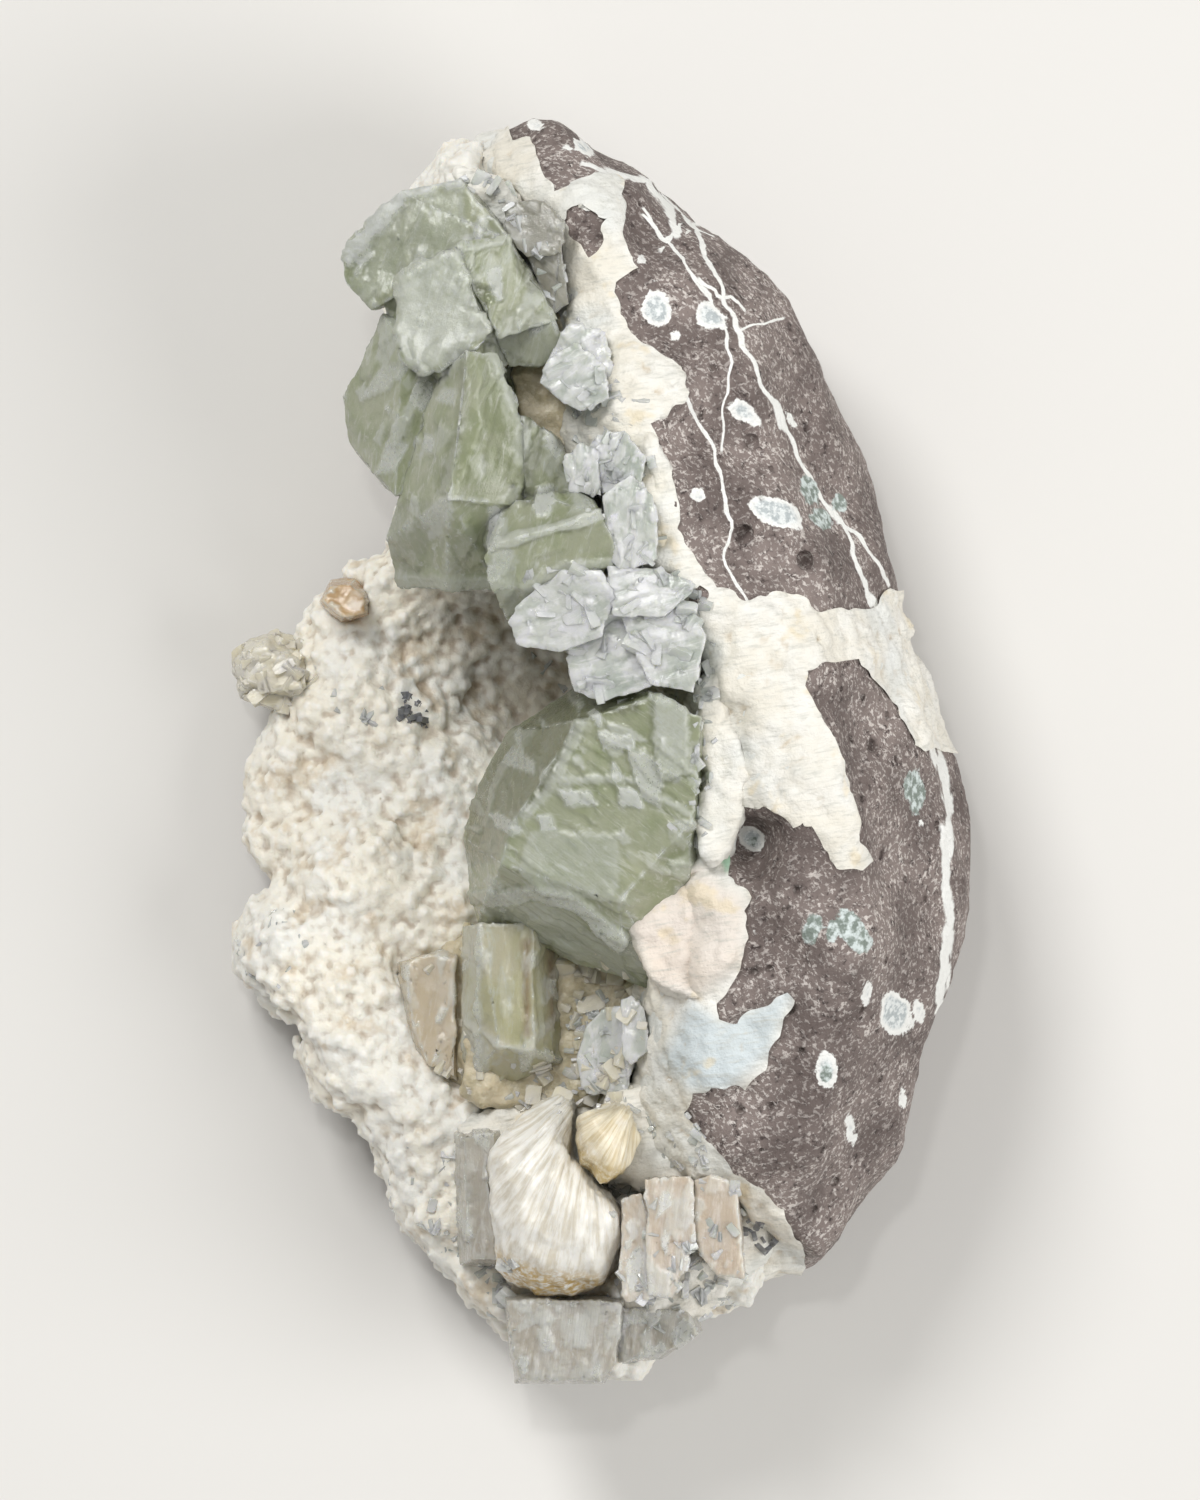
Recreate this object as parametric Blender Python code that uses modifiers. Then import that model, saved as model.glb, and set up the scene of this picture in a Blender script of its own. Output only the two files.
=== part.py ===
# Apophyllite cluster: green apophyllite, stilbite and white druse in a broken cavity
# of vesicular basalt, lying on its back with the cavity facing up (+Z).
# Plan coordinates are millimetres: x across, y along the length, z up from the table.

import bmesh
import bpy
import numpy as np
from mathutils import Vector, noise

MM = 0.001

# Overall size and fineness
CAP_HEIGHT = 24.0
GAP = 0.3
SKIN = 5.0
WALL_WIDTH = 7.0
BAND_DEPTH = 7.0
FLAT_DEPTH = 1.6
CHIP_SIZE = 240.0
SAME_FACING = 0.9995
ROCK_VOXEL = 1.7
CRUST_VOXEL = 1.4
SHEAF_VOXEL = 1.2
ROCK_FACES = 1050
RIND_FACES = 650
CRUST_FACES = 1120
RIND_ROOM_FACES = 260
RIND_ROOM_GAP = 0.6
RIND_LIFT = 6.0
ROCK_ROOM_FACES = 260
ROCK_ROOM_GAP = 1.4
DISC_FACES = 120
SHEAF_FACES = 300
WELD = 0.01
PLANE_SLACK = 1e-4

# Basalt: the outcurving underside of its thick wall, and its rounded rim
WALL_UNDERCUT = 10.0
WALL_UNDERCUT_REACH = 16.0
FLOOR_RIM = 4.0
WALL_RIM = 11.0
ROCK_EDGE = 0.3
ROCK_ROUGHNESS = [(24, 2.4, "soft"), (9, 1.5, "soft"), (4, 0.7, "soft")]

# White rind: proud of the rock face, rolled over at the rock's edge, sloping to the cavity
RIND_PROUD = 0.4
RIND_ROLL = 11.0
RIND_ROLL_DEPTH = (0.35, 2.0)
RIND_SLOPE = 11.0
RIND_SLOPE_DEPTH = 17.0
RIND_BURIED = 2.0
RIND_THINNEST = 4.0
RIND_RIM = 4.0
RIND_EDGE = 0.4
RIND_ROUGHNESS = [(7, 2.2, "lumps"), (3.5, 0.8, "soft")]

# White druse: a crust of small crystals from just above the table to the cavity floor
CRUST_BOTTOM = 4.5
CRUST_RIM = 7.0
CRUST_EDGE = 0.35
CRUST_ROUGHNESS = [(6.5, 2.6, "lumps"), (3.2, 1.3, "lumps"), (12, 1.2, "soft")]

# Stilbite domes: rim, and how fast each crown falls away
DOME_RIM = 4.0
DOME_EDGE = 0.55
DOME_ROUGHNESS = [(3.5, 0.7, "soft")]
DISC_FALL = 0.05
SHEAF_FALL = 0.045

# Room that one piece leaves in another
LUMP_GAP = 0.345
SHELL_LIMIT = 2.2
UPWARD = 0.35
NEAR = 0.5
PIT_SINK = 0.3
ABOVE_ALL = 100.0

# Outline of the basalt: round the top and down the right side, then up the wing's edge
ROCK_OUTLINE = [
    (-12, 79), (-9, 80), (-5, 79), (-0.5, 76), (6, 71.5), (13, 65.5), (21.5, 58.5), (25.5, 54),
    (27.5, 47), (30, 40.5), (32.5, 32.5), (35.5, 25), (39.5, 11.5), (42, 5.5), (44.5, -3),
    (46, -10), (46.5, -18), (45.5, -25.5), (42, -33.5), (38.5, -43), (37, -49), (35, -53),
    (32, -56.5), (30.5, -60.5), (28.5, -63.5), (20, -66), (12, -70), (2, -74), (-7, -74),
    (-13, -67), (-19, -61), (-24, -55), (-26, -47.5), (-33, -41), (-38, -33), (-41, -27),
    (-40.5, -20), (-41, -12.5), (-41, -5), (-39, 4.5), (-37, 12), (-32, 18), (-27, 22),
    (-22.5, 29), (-25, 40.5), (-25.5, 53), (-23, 63.5), (-19, 71), (-15, 76.5)]

# Left silhouette of the white druse, from the top knob down to the bottom right
CRUST_LEFT = [
    (-16.5, 77), (-21, 72), (-24.5, 66), (-26, 56), (-26.5, 44), (-24.5, 31.5), (-26.5, 26),
    (-28.5, 24), (-31.5, 23), (-33.5, 21), (-36, 18.5), (-38.5, 14.5), (-41, 11), (-41, 4),
    (-42.5, 0), (-44, -5), (-44, -10), (-42.5, -15), (-40.5, -18), (-44, -19), (-46, -22.5),
    (-46.5, -26), (-45, -30), (-41, -33), (-38.5, -37), (-37, -41), (-33.5, -44.5), (-29, -47.5),
    (-28.5, -51.5), (-26.5, -55), (-25, -59.5), (-21.5, -63), (-16.5, -68), (-12.5, -73),
    (-9, -77), (-3, -78), (3, -78), (10, -74.5), (17, -69.5), (24, -64.5)]
CRUST_RIGHT = [(24, -61), (14, -56), (10, -46), (12, -36), (13, -26), (15, -15), (19, -5),
               (18, 5), (13, 13), (6, 22), (2, 32), (-1, 42), (-3, 52), (-6, 62), (-11, 72)]

# The white rind: its ragged edge on the rock face, then its edge over the cavity
RIND_RIGHT = [
    (-11.5, 79), (-10.5, 77), (-9, 76.5), (-6.5, 72), (-5.5, 70), (-1, 71), (0.5, 73.5),
    (3, 73), (3.5, 63), (4.5, 60), (2, 57), (3.5, 52.5), (6.5, 51), (10, 48), (11, 44.5),
    (7, 41), (8, 36.5), (10, 30), (9.5, 26.5), (12.5, 23), (15, 20), (18, 18.5), (24.5, 19),
    (29, 17), (35, 18.5), (37, 18.5), (40, 9), (41.5, 1.5), (39, 1.5), (38, 5), (35, 7.5),
    (31, 11), (28.5, 11.5), (26, 9.5), (26, 7), (29.5, 1.5), (31.5, -6.5), (34, -13),
    (32.5, -15), (29.5, -15), (27.5, -11), (25.5, -9), (22, -7.5), (17.5, -7.5), (16, -15),
    (18.5, -18.5), (18, -25.5), (14.5, -32), (15.5, -34), (19, -32.5), (23.5, -30.5),
    (23.5, -34.5), (20.5, -40), (18, -42), (12.5, -43), (10.5, -45.5), (15.5, -50.5),
    (19, -54.5), (24.5, -61)]
RIND_LEFT = [
    (24, -65), (16.5, -63.5), (10, -58.5), (6, -52.5), (3, -45), (3, -36.5), (5, -26.5),
    (7, -16), (9, -8.5), (10, 1.5), (6.5, 9), (0, 14), (-3, 24), (-7, 34), (-9, 44), (-9.5, 54),
    (-12, 62), (-16, 70), (-19.5, 73.5), (-18, 77), (-15, 79)]

# Foot of the cavity wall: x for each y, from the bottom end to the top end
WALL_FOOT = [(24, -66), (17, -60), (11, -54), (9, -45), (10, -36), (11, -25), (13.5, -15),
             (17, -6), (16, 4), (11.5, 12.5), (4, 21.5), (0, 31.5), (-3, 41.5), (-4.5, 51.5),
             (-7, 62), (-11, 72), (-13, 80)]

# Heights of the cavity floor and wing, and of the rock face, at a few places (x, y, z)
FLOOR_HEIGHTS = [
    (-44, 10, 13), (-36, 18, 17), (-28, 22, 19), (-20, 14, 13), (-8, 8, 10), (-38, 0, 16),
    (-30, 2, 20), (-22, -8, 19), (-42, -9, 16), (-30, -14, 23), (-21, -22, 22),
    (-43, -25, 22), (-34, -34, 25), (-25, -41, 25), (-14, -32, 14), (0, -34, 14),
    (-24, -52, 26), (-14, -66, 26), (0, -60, 28), (8, -70, 32), (-20, 60, 25),
    (-18, 40, 22), (-16, 30, 18), (-14, 72, 34)]
FACE_HEIGHTS = [
    (-10, 78, 42), (0, 72, 45), (10, 66, 42), (4, 58, 49), (15, 55, 48), (24, 52, 38),
    (8, 44, 54), (18, 44, 51), (28, 42, 40), (10, 30, 56), (20, 30, 53), (31, 32, 42),
    (14, 20, 57), (26, 18, 53), (37, 18, 41), (12, 8, 55), (24, 8, 57), (40, 6, 43),
    (14, -8, 54), (28, -6, 57), (44, -6, 42), (16, -22, 53), (30, -22, 56), (45, -20, 41),
    (14, -36, 50), (28, -38, 52), (41, -36, 40), (12, -46, 47), (25, -50, 48), (36, -50, 38),
    (22, -58, 42), (30, -61, 37)]
HEIGHT_REACH = 6.0

# Flat breaks that chip the hidden back and the ends: a point, and the way the break faces
BACK_BREAKS = [
    ((38, 10, 9), (0.62, 0.1, -0.78)), ((30, -52, 8), (0.5, -0.45, -0.74)),
    ((18, 62, 10), (0.5, 0.45, -0.74)), ((-14, 74, 10), (-0.4, 0.55, -0.73)),
    ((-30, -42, 4), (-0.45, -0.4, -0.8)), ((-36, 8, 3.5), (-0.5, 0.3, -0.81)),
    ((2, -70, 9), (0.05, -0.6, -0.8)), ((43, -24, 12), (0.75, -0.25, -0.61))]

# The flat break that the specimen lies on
TABLE = ((0, 0, 0), (0, 0, -1))

# Open gas bubbles in the rock face: x, y, radius
PITS = [(19, 38.5, 1.2), (26, 40.5, 1.1), (18, 27, 1.5), (25.7, 24, 1.5), (34, 0.5, 1.2),
        (28.5, -40, 1.8)]

# Crystals: corners of the front face in plan, the plane it lies on, and the deeper corners
UPPER_BLOCK = dict(
    front=[(-32, 61.5), (-31, 64), (-24.5, 69.5), (-17.5, 71), (-11.5, 64), (-19, 62.5),
           (-28.5, 55.5), (-31.5, 58.5)], plane=(48, 0.30, -0.10, -22, 63),
    deep=[(-30.5, 62.5, 37), (-27, 62, 26), (-21, 69, 25), (-15, 71, 27), (-11, 64, 28),
          (-21, 57, 24)])
LEFT_FACETS = dict(
    front=[(-24.5, 51), (-18, 48), (-22.5, 45), (-24, 40.5), (-25.5, 32), (-19, 34)],
    plane=(48, 0.55, 0.05, -24, 42),
    deep=[(-27, 54.5, 44), (-32, 44.5, 35), (-31.5, 39, 34), (-27.5, 34, 36), (-24, 51, 23),
          (-26, 41.5, 21), (-23, 34, 21), (-17, 34, 20), (-17, 53, 22)])
LONG_PRISM = dict(
    front=[(-16.5, 49.5), (-16.5, 40.5), (-18.5, 31.5), (-9.5, 30.5), (-10, 40.5), (-13, 48.5)],
    plane=(60, -0.75, 0.05, -16, 40),
    deep=[(-20, 46, 54), (-25, 31.5, 46), (-26.5, 26.5, 41), (-25, 21, 36), (-19, 20.5, 46),
          (-13, 20.5, 48), (-19, 49, 26), (-11.5, 44, 26), (-10, 31.5, 24), (-22, 28, 19),
          (-20.5, 23, 19), (-13, 23, 19)])
RIGHT_PRISM = dict(
    front=[(-10, 41.5), (-7, 40), (-5, 37), (-3, 32), (-9, 30.5), (-11, 35.5)],
    plane=(54, -0.35, 0.1, -7, 36),
    deep=[(-10, 42, 26), (-2.5, 38, 26), (-2.5, 31.5, 24), (-10, 31, 22)])
DARK_RECESS = dict(
    front=[(-10.5, 47.5), (-6.5, 48.5), (-2, 41.5), (-3, 37), (-7.5, 39)],
    plane=(43, 0.25, 0, -7, 43),
    deep=[(-10.5, 47.5, 24), (-2, 43, 26), (-2.5, 37.5, 24), (-9, 38, 22)])
CLOUDY_CRYSTAL = dict(
    front=[(-13, 52.5), (-10.5, 55), (-6, 54.5), (-5, 51), (-7, 48.5), (-11, 48.5)],
    plane=(51, 0.1, 0.2, -9, 52),
    deep=[(-13, 53, 26), (-6, 55, 28), (-5, 50, 28), (-11, 48, 24)])
SHADED_CRYSTAL = dict(
    front=[(-17.5, 63), (-11.5, 64), (-7, 56.5), (-5.5, 54), (-12.5, 52), (-15.5, 57.5)],
    plane=(54, -0.35, 0.05, -12, 58),
    deep=[(-17, 63, 28), (-9.5, 62, 28), (-5.5, 54, 30), (-14, 52, 26)])
FROSTED_LEDGE = dict(
    front=[(-25, 51.5), (-24.5, 49), (-22.5, 47), (-20, 47.5), (-14.5, 51), (-14, 52.5),
           (-16.5, 58), (-18, 61.5), (-22, 61), (-25, 58.5)], plane=(57, 0.3, -0.12, -19, 54),
    deep=[(-24.5, 58, 42), (-23, 48.5, 40), (-15, 52, 42), (-18, 61, 42)])
CROSS_PRISM = dict(
    front=[(-13, 25.5), (0, 29), (1.5, 26.5), (1.5, 23.5), (-5, 21.5), (-13, 20), (-14, 24)],
    plane=(60, 0.1, 0.35, -6, 25),
    deep=[(-12, 30, 56), (-7, 31.5, 57), (-2.5, 32, 57), (-0.5, 30.5, 58), (-9, 18.5, 53),
          (-11.5, 16.5, 51), (-11, 29, 36), (0, 30, 36), (1, 24, 36), (-10.5, 18, 36)])
UPPER_GROUP = [UPPER_BLOCK, LEFT_FACETS, LONG_PRISM, RIGHT_PRISM, DARK_RECESS, CLOUDY_CRYSTAL,
               SHADED_CRYSTAL, FROSTED_LEDGE, CROSS_PRISM]

MIDDLE_CRYSTAL = dict(
    front=[(-2.5, 3.5), (-4.5, -1), (-6.5, -5), (-11, -10), (-12, -14), (-5, -15.5), (2.5, -18.5),
           (6, -12.5), (11.5, -8.5), (12.5, 4), (7, 6.5)], plane=(55.5, 0.12, 0.1, 0, -6),
    deep=[(5, 7.5, 50), (-2.5, 8, 40), (-11.5, 2, 34), (-15, -4.5, 32), (-17, -11, 29),
          (-16, -18, 28), (-15, -21.5, 29), (-9, -24, 32), (0, -27, 36), (6, -29.5, 38),
          (9, -29, 41), (3, -24, 48), (-3, -18.5, 52), (-2, 6.5, 20), (-12, -6, 15),
          (-12, -17, 14), (-5, -23, 15), (6, -27, 20), (13.5, -19, 34), (14, 0, 34)])

LOWER_PRISM = dict(
    front=[(-15, -22), (-8.5, -22), (-8.5, -37.5), (-12.5, -37)], plane=(37, 0.15, 0, -11, -30),
    deep=[(-17, -22.5, 30), (-5, -24.5, 28), (-17, -34, 30), (-5, -39, 29), (-17, -42.5, 24),
          (-10, -41, 31), (-6.5, -40, 29), (-15, -44, 22), (-17, -23, 11), (-5, -24, 10),
          (-5, -39, 11), (-16.5, -43.5, 16)])
LOWER_COMPANION = dict(
    front=[(-5.5, -25), (2.5, -25.5), (2.5, -32.5), (0, -34), (-2.5, -39), (-5.5, -39)],
    plane=(25, 0.1, 0.05, -2, -32),
    deep=[(-5.5, -25, 10), (2.5, -25.5, 10), (2, -33, 10), (-3, -39, 10), (-5.5, -39, 10)])
LOWER_GROUP = [LOWER_PRISM, LOWER_COMPANION]

BRIDGE_GROUP = [
    dict(front=[(-11, 16), (-9.5, 18.5), (-4.5, 22), (0, 22), (1.5, 19), (0, 14.5), (-5, 12.5),
                (-10, 13.5)], plane=(59, 0.25, 0.2, -4, 17),
         deep=[(-9, 15, 42), (-3.5, 20, 42), (0, 19, 42), (-3, 13.5, 42)]),
    dict(front=[(-4, 11.5), (-3, 7.5), (0.5, 6.5), (3, 7.5), (6.5, 8.5), (7.5, 12.5), (2.5, 17),
                (0, 15)], plane=(57, 0.2, 0.15, 1, 11),
         deep=[(-3, 11, 45), (0.5, 8, 43), (6, 9.5, 42), (3, 16, 42)]),
    dict(front=[(6.5, 8.5), (11.5, 7.5), (13, 14), (10, 19), (6.5, 17.5), (3, 16.5)],
         plane=(60, 0.15, 0.05, 8, 13), deep=[(6.5, 9.5, 44), (12, 9, 46), (11, 18, 46), (4, 16, 44)]),
    dict(front=[(1.5, 22.5), (7.5, 22.5), (11.5, 20.5), (8, 17), (2, 17)],
         plane=(61, 0.1, -0.1, 6, 20), deep=[(2, 22, 46), (10, 21, 48), (8, 17, 48), (2, 17, 46)])]
RIM_GROUP = [
    dict(front=[(-4, 36.5), (-2, 38), (-0.5, 37), (0, 32), (-3.5, 32.5)],
         plane=(58, 0.2, 0, -2, 35), deep=[(-3.5, 36.5, 44), (0, 37, 46), (0, 32.5, 46), (-3, 33, 44)]),
    dict(front=[(-1.2, 37), (0, 39), (3, 39.5), (5.5, 36.5), (5, 33.5), (0, 33)],
         plane=(58, 0.1, 0.2, 2, 36), deep=[(0, 38, 46), (5, 37, 48), (4.5, 34, 48), (0, 34, 46)]),
    dict(front=[(1, 26.5), (0.8, 31.5), (4, 34.2), (6.5, 31.5), (7, 24), (3, 22.8), (1.5, 24)],
         plane=(61, 0.1, 0.05, 4, 29), deep=[(1.8, 27, 46), (2, 31, 46), (6, 31, 48), (6, 24.5, 48)])]
TOP_GROUP = [
    dict(front=[(-7, 46), (-6, 48.5), (-3, 50.5), (0, 48), (1, 44), (-2, 42.5), (-5, 44)],
         plane=(56, 0.1, 0.1, -3, 46), deep=[(-6, 46, 46), (-3, 49, 44), (0, 46, 44), (-3, 43.5, 44)]),
    dict(front=[(-6, 49), (-4, 53), (0.5, 52), (1.5, 47), (0, 45)], plane=(52, 0.05, 0.1, -2, 49),
         deep=[(-5, 50, 42), (0, 52, 44), (1, 46, 44), (-4, 47, 42)])]
TOP_LENS = [
    dict(front=[(-7, 68.5), (-11.5, 68.5), (-11.5, 64.5), (-9, 62), (-5, 62.5), (-4.5, 66)],
         plane=(50, 0.2, -0.1, -8, 65),
         deep=[(-11, 68, 36), (-5.5, 67.5, 36), (-6, 63, 36), (-11, 65, 36)]),
    dict(front=[(-9, 62.5), (-5, 63), (-4, 56), (-6, 55)], plane=(49, 0.3, 0.1, -6, 59),
         deep=[(-8.5, 62, 36), (-4.5, 62, 36), (-4, 56.5, 38), (-6, 56, 36)])]
CLEAR_LOWER_GROUP = [
    dict(front=[(-2.5, -39), (-1, -34.5), (0.5, -33), (3, -32.5), (4, -37.5), (3.5, -43),
                (-1.5, -43)], plane=(37, 0.3, 0.1, 1, -38),
         deep=[(-2, -39, 22), (0.5, -34, 22), (4.5, -35, 24), (4, -43, 24), (-1, -43, 22)]),
    dict(front=[(3, -31.5), (4, -31), (5.5, -32.5), (6, -37.5), (4, -39), (3.4, -38)],
         plane=(41, 0.2, 0, 4, -35), deep=[(3, -32, 24), (6, -33, 26), (6, -38, 26), (3.5, -38.5, 24)])]
BEIGE_CRYSTAL = dict(
    front=[(-24, -27), (-21.5, -26), (-18.5, -26.5), (-18.5, -41), (-21.5, -39.5), (-23.5, -34)],
    plane=(26, 0.25, 0.02, -21, -33),
    deep=[(-25.5, -27, 21), (-17.6, -25, 21), (-17.6, -42.5, 20), (-25, -35, 20), (-24, -28, 16),
          (-18.5, -27, 15), (-18.5, -41, 16), (-23.5, -34, 17)])
PEACH_CRYSTAL = dict(
    front=[(-35, 19), (-34, 20.5), (-31.5, 21), (-30, 19.5), (-30, 17.5), (-32.5, 17)],
    plane=(22, 0.1, -0.3, -32, 19),
    deep=[(-35.5, 19, 12), (-34, 21.5, 12), (-31, 22, 12), (-29, 20, 12), (-29, 17, 12),
          (-33, 16, 12)])
TAN_SPUR = [
    dict(front=[(-45, 12), (-43, 13), (-39, 11), (-38, 8), (-41, 8), (-44.5, 9)],
         plane=(17, 0.15, -0.1, -42, 10),
         deep=[(-46.5, 11.5, 12), (-44.5, 14, 11), (-41, 15, 11), (-37, 14, 10), (-35, 9, 10),
               (-39, 5, 9), (-45.5, 7, 10), (-44, 11, 6), (-38, 11, 6)]),
    dict(front=[(-43.5, 8.5), (-41, 8.5), (-39.5, 6), (-41, 5.5), (-44.5, 7)],
         plane=(15, 0.1, 0.1, -42, 7), deep=[(-45.5, 7, 9), (-40, 4.5, 8), (-37, 8, 7), (-42, 9, 7)])]
SMOKY_PRISM = dict(
    front=[(-17, -49), (-13.5, -48.5), (-13.2, -64), (-16, -64)], plane=(33, 0.2, 0.05, -15, -56),
    deep=[(-18.2, -48.5, 27), (-12.6, -48, 28), (-12.2, -65, 27), (-17.5, -65, 25),
          (-17.5, -50, 20), (-12.5, -50, 20), (-12.5, -64, 20), (-17, -64, 20)])
PEACH_BLADE = dict(
    front=[(12, -54), (14, -53.5), (17, -54.5), (18, -66), (15, -65.5), (12.5, -62.5)],
    plane=(45, 0.25, 0.05, 15, -60),
    deep=[(12, -54, 30), (17.5, -54.5, 30), (18.3, -66, 30), (13, -64, 28)])
FIBROUS_BLADES = [
    dict(front=[(3, -56.5), (5, -56), (7, -59.5), (6.5, -68.5), (3.5, -69), (3, -65.5)],
         plane=(43, 0.2, 0.05, 5, -62),
         deep=[(3, -57, 26), (7, -60, 26), (6.5, -68.5, 24), (3.5, -68.5, 24)]),
    dict(front=[(6, -54), (11.3, -53.5), (11.8, -61.5), (9, -68.5), (6.5, -68)],
         plane=(45, 0.15, 0.08, 9, -61),
         deep=[(6, -54, 28), (11.3, -54, 30), (11, -62, 28), (7, -68, 26)])]
STRIATED_BLOCKS = [
    dict(front=[(-11.5, -69.5), (-5, -70), (0, -69.5), (2.4, -70), (1.8, -77), (0, -79),
                (-9.8, -79), (-11, -74)], plane=(35, 0.1, 0.25, -5, -74),
         deep=[(-12, -69, 24), (-10.5, -80, 28), (0.5, -80, 28), (3, -69, 26), (-10, -79.2, 21),
               (0, -79.2, 21), (-11, -70, 18), (-8, -75.5, 14), (-1, -75.5, 14), (2, -70, 18)]),
    dict(front=[(3, -70.5), (11, -71), (12, -73.5), (8, -75.5), (2.6, -77)],
         plane=(32, 0.15, 0.3, 7, -74), deep=[(2.5, -69.5, 22), (12, -70.5, 24), (13, -73.5, 22),
                                             (8, -76.8, 20), (2.5, -78, 20), (4, -71, 14), (9, -73, 14)])]

# The crystal pieces, foremost first: each gives way to those above it
CRYSTAL_PIECES = [
    ("apophyllite_upper", UPPER_GROUP), ("clear_crystals_bridge", BRIDGE_GROUP),
    ("apophyllite_middle", [MIDDLE_CRYSTAL]), ("clear_crystals_rim", RIM_GROUP),
    ("clear_crystals_top", TOP_GROUP), ("cloudy_lobe", TOP_LENS), ("stilbite_fibres", FIBROUS_BLADES),
    ("stilbite_blade", [PEACH_BLADE]), ("stilbite_blocks", STRIATED_BLOCKS),
    ("smoky_crystal", [SMOKY_PRISM]), ("apophyllite_lower", LOWER_GROUP),
    ("clear_crystals_lower", CLEAR_LOWER_GROUP), ("beige_crystal", [BEIGE_CRYSTAL]),
    ("peach_crystal", [PEACH_CRYSTAL]), ("tan_spur", TAN_SPUR)]
SHEAF_PLACE = 6

# The sheaf of stilbite: its outline in plan, its crown, and the smaller disc beside it
SHEAF_OUTLINE = [
    (-14, -51), (-11.5, -48), (-8.5, -45), (-5.5, -43.5), (-3, -43.5), (-3.5, -46.5), (-4, -50),
    (-2, -53.5), (1.5, -56), (2.6, -58), (2.4, -62), (1.8, -65), (0, -67.5), (-3.5, -68.6),
    (-7, -68.3), (-10.5, -67.3), (-12.2, -65), (-13, -61), (-14, -55)]
SHEAF_TOP = (47, -5, -56)
SHEAF_BOTTOM = 24
DISC_OUTLINE = [(-3, -50), (-2.6, -46), (0.5, -44.6), (4, -45), (4.8, -49), (3, -53), (0, -54.3)]
DISC_TOP = (49, 1, -49)
DISC_BOTTOM = 34

COLOURS = {
    "basalt_matrix": ((0.085, 0.062, 0.060), 0.85), "zeolite_rind": ((0.80, 0.78, 0.70), 0.6),
    "drusy_crust": ((0.74, 0.70, 0.60), 0.55), "apophyllite_upper": ((0.50, 0.56, 0.40), 0.15),
    "apophyllite_middle": ((0.42, 0.47, 0.33), 0.15),
    "apophyllite_lower": ((0.42, 0.40, 0.22), 0.15),
    "clear_crystals_bridge": ((0.72, 0.76, 0.70), 0.2),
    "clear_crystals_rim": ((0.74, 0.77, 0.72), 0.2),
    "clear_crystals_top": ((0.74, 0.76, 0.72), 0.2),
    "clear_crystals_lower": ((0.70, 0.68, 0.62), 0.2), "cloudy_lobe": ((0.60, 0.62, 0.58), 0.2),
    "stilbite_sheaf": ((0.80, 0.77, 0.68), 0.3), "stilbite_disc": ((0.80, 0.72, 0.55), 0.35),
    "stilbite_fibres": ((0.76, 0.72, 0.64), 0.4), "stilbite_blade": ((0.72, 0.56, 0.42), 0.3),
    "stilbite_blocks": ((0.66, 0.68, 0.64), 0.3), "smoky_crystal": ((0.45, 0.38, 0.30), 0.2),
    "beige_crystal": ((0.62, 0.52, 0.40), 0.2), "peach_crystal": ((0.66, 0.48, 0.28), 0.25),
    "tan_spur": ((0.68, 0.60, 0.46), 0.4)}


def clear_scene():
    for obj in list(bpy.data.objects):
        bpy.data.objects.remove(obj)


def make_collection(name):
    collection = bpy.data.collections.new(name)
    bpy.context.scene.collection.children.link(collection)
    return collection


def make_material(name):
    colour, roughness = COLOURS[name]
    material = bpy.data.materials.new(name)
    material.use_nodes = True
    shader = material.node_tree.nodes["Principled BSDF"]
    shader.inputs["Base Color"].default_value = (*colour, 1)
    shader.inputs["Roughness"].default_value = roughness
    shader.inputs["Metallic"].default_value = 0
    return material


def object_from(bm, name, collection):
    """A bmesh drawn in millimetres, as an object in metres."""
    bmesh.ops.scale(bm, vec=(MM, MM, MM), verts=bm.verts)
    mesh = bpy.data.meshes.new(name)
    bm.to_mesh(mesh)
    bm.free()
    obj = bpy.data.objects.new(name, mesh)
    collection.objects.link(obj)
    return obj


def settle(obj):
    """Replace an object's mesh by what its modifiers make of it."""
    graph = bpy.context.evaluated_depsgraph_get()
    mesh = bpy.data.meshes.new_from_object(obj.evaluated_get(graph))
    obj.modifiers.clear()
    obj.data = mesh
    return obj


def edit(obj, change):
    """Run change on the object's bmesh, in metres."""
    bm = bmesh.new()
    bm.from_mesh(obj.data)
    change(bm)
    bm.normal_update()
    bm.to_mesh(obj.data)
    bm.free()
    obj.data.update()
    return obj


def outline_prism(name, outline, collection):
    """A closed prism on an outline, CAP_HEIGHT tall, from a filled flat curve."""
    curve = bpy.data.curves.new(name, "CURVE")
    curve.dimensions = "2D"
    curve.fill_mode = "BOTH"
    curve.extrude = CAP_HEIGHT / 2 * MM
    spline = curve.splines.new("POLY")
    spline.points.add(len(outline) - 1)
    for point, (x, y) in zip(spline.points, outline):
        point.co = (x * MM, y * MM, 0, 1)
    spline.use_cyclic_u = True
    guide = bpy.data.objects.new(name + "_guide", curve)
    collection.objects.link(guide)
    graph = bpy.context.evaluated_depsgraph_get()
    mesh = bpy.data.meshes.new_from_object(guide.evaluated_get(graph))
    bpy.data.objects.remove(guide)
    obj = bpy.data.objects.new(name, mesh)
    collection.objects.link(obj)
    return edit(obj, lambda bm: bmesh.ops.remove_doubles(bm, verts=bm.verts, dist=WELD * MM))


def remesh(obj, voxel):
    modifier = obj.modifiers.new("remesh", "REMESH")
    modifier.mode = "VOXEL"
    modifier.voxel_size = voxel * MM
    return settle(obj)


def decimate(obj, faces):
    triangles = sum(len(polygon.vertices) - 2 for polygon in obj.data.polygons)
    modifier = obj.modifiers.new("decimate", "DECIMATE")
    modifier.ratio = min(1.0, faces / triangles)
    return settle(obj)


def get_points(obj):
    flat = np.empty(len(obj.data.vertices) * 3)
    obj.data.vertices.foreach_get("co", flat)
    return flat.reshape(-1, 3) / MM


def set_points(obj, points):
    obj.data.vertices.foreach_set("co", (points * MM).ravel())
    obj.data.update()


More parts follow.
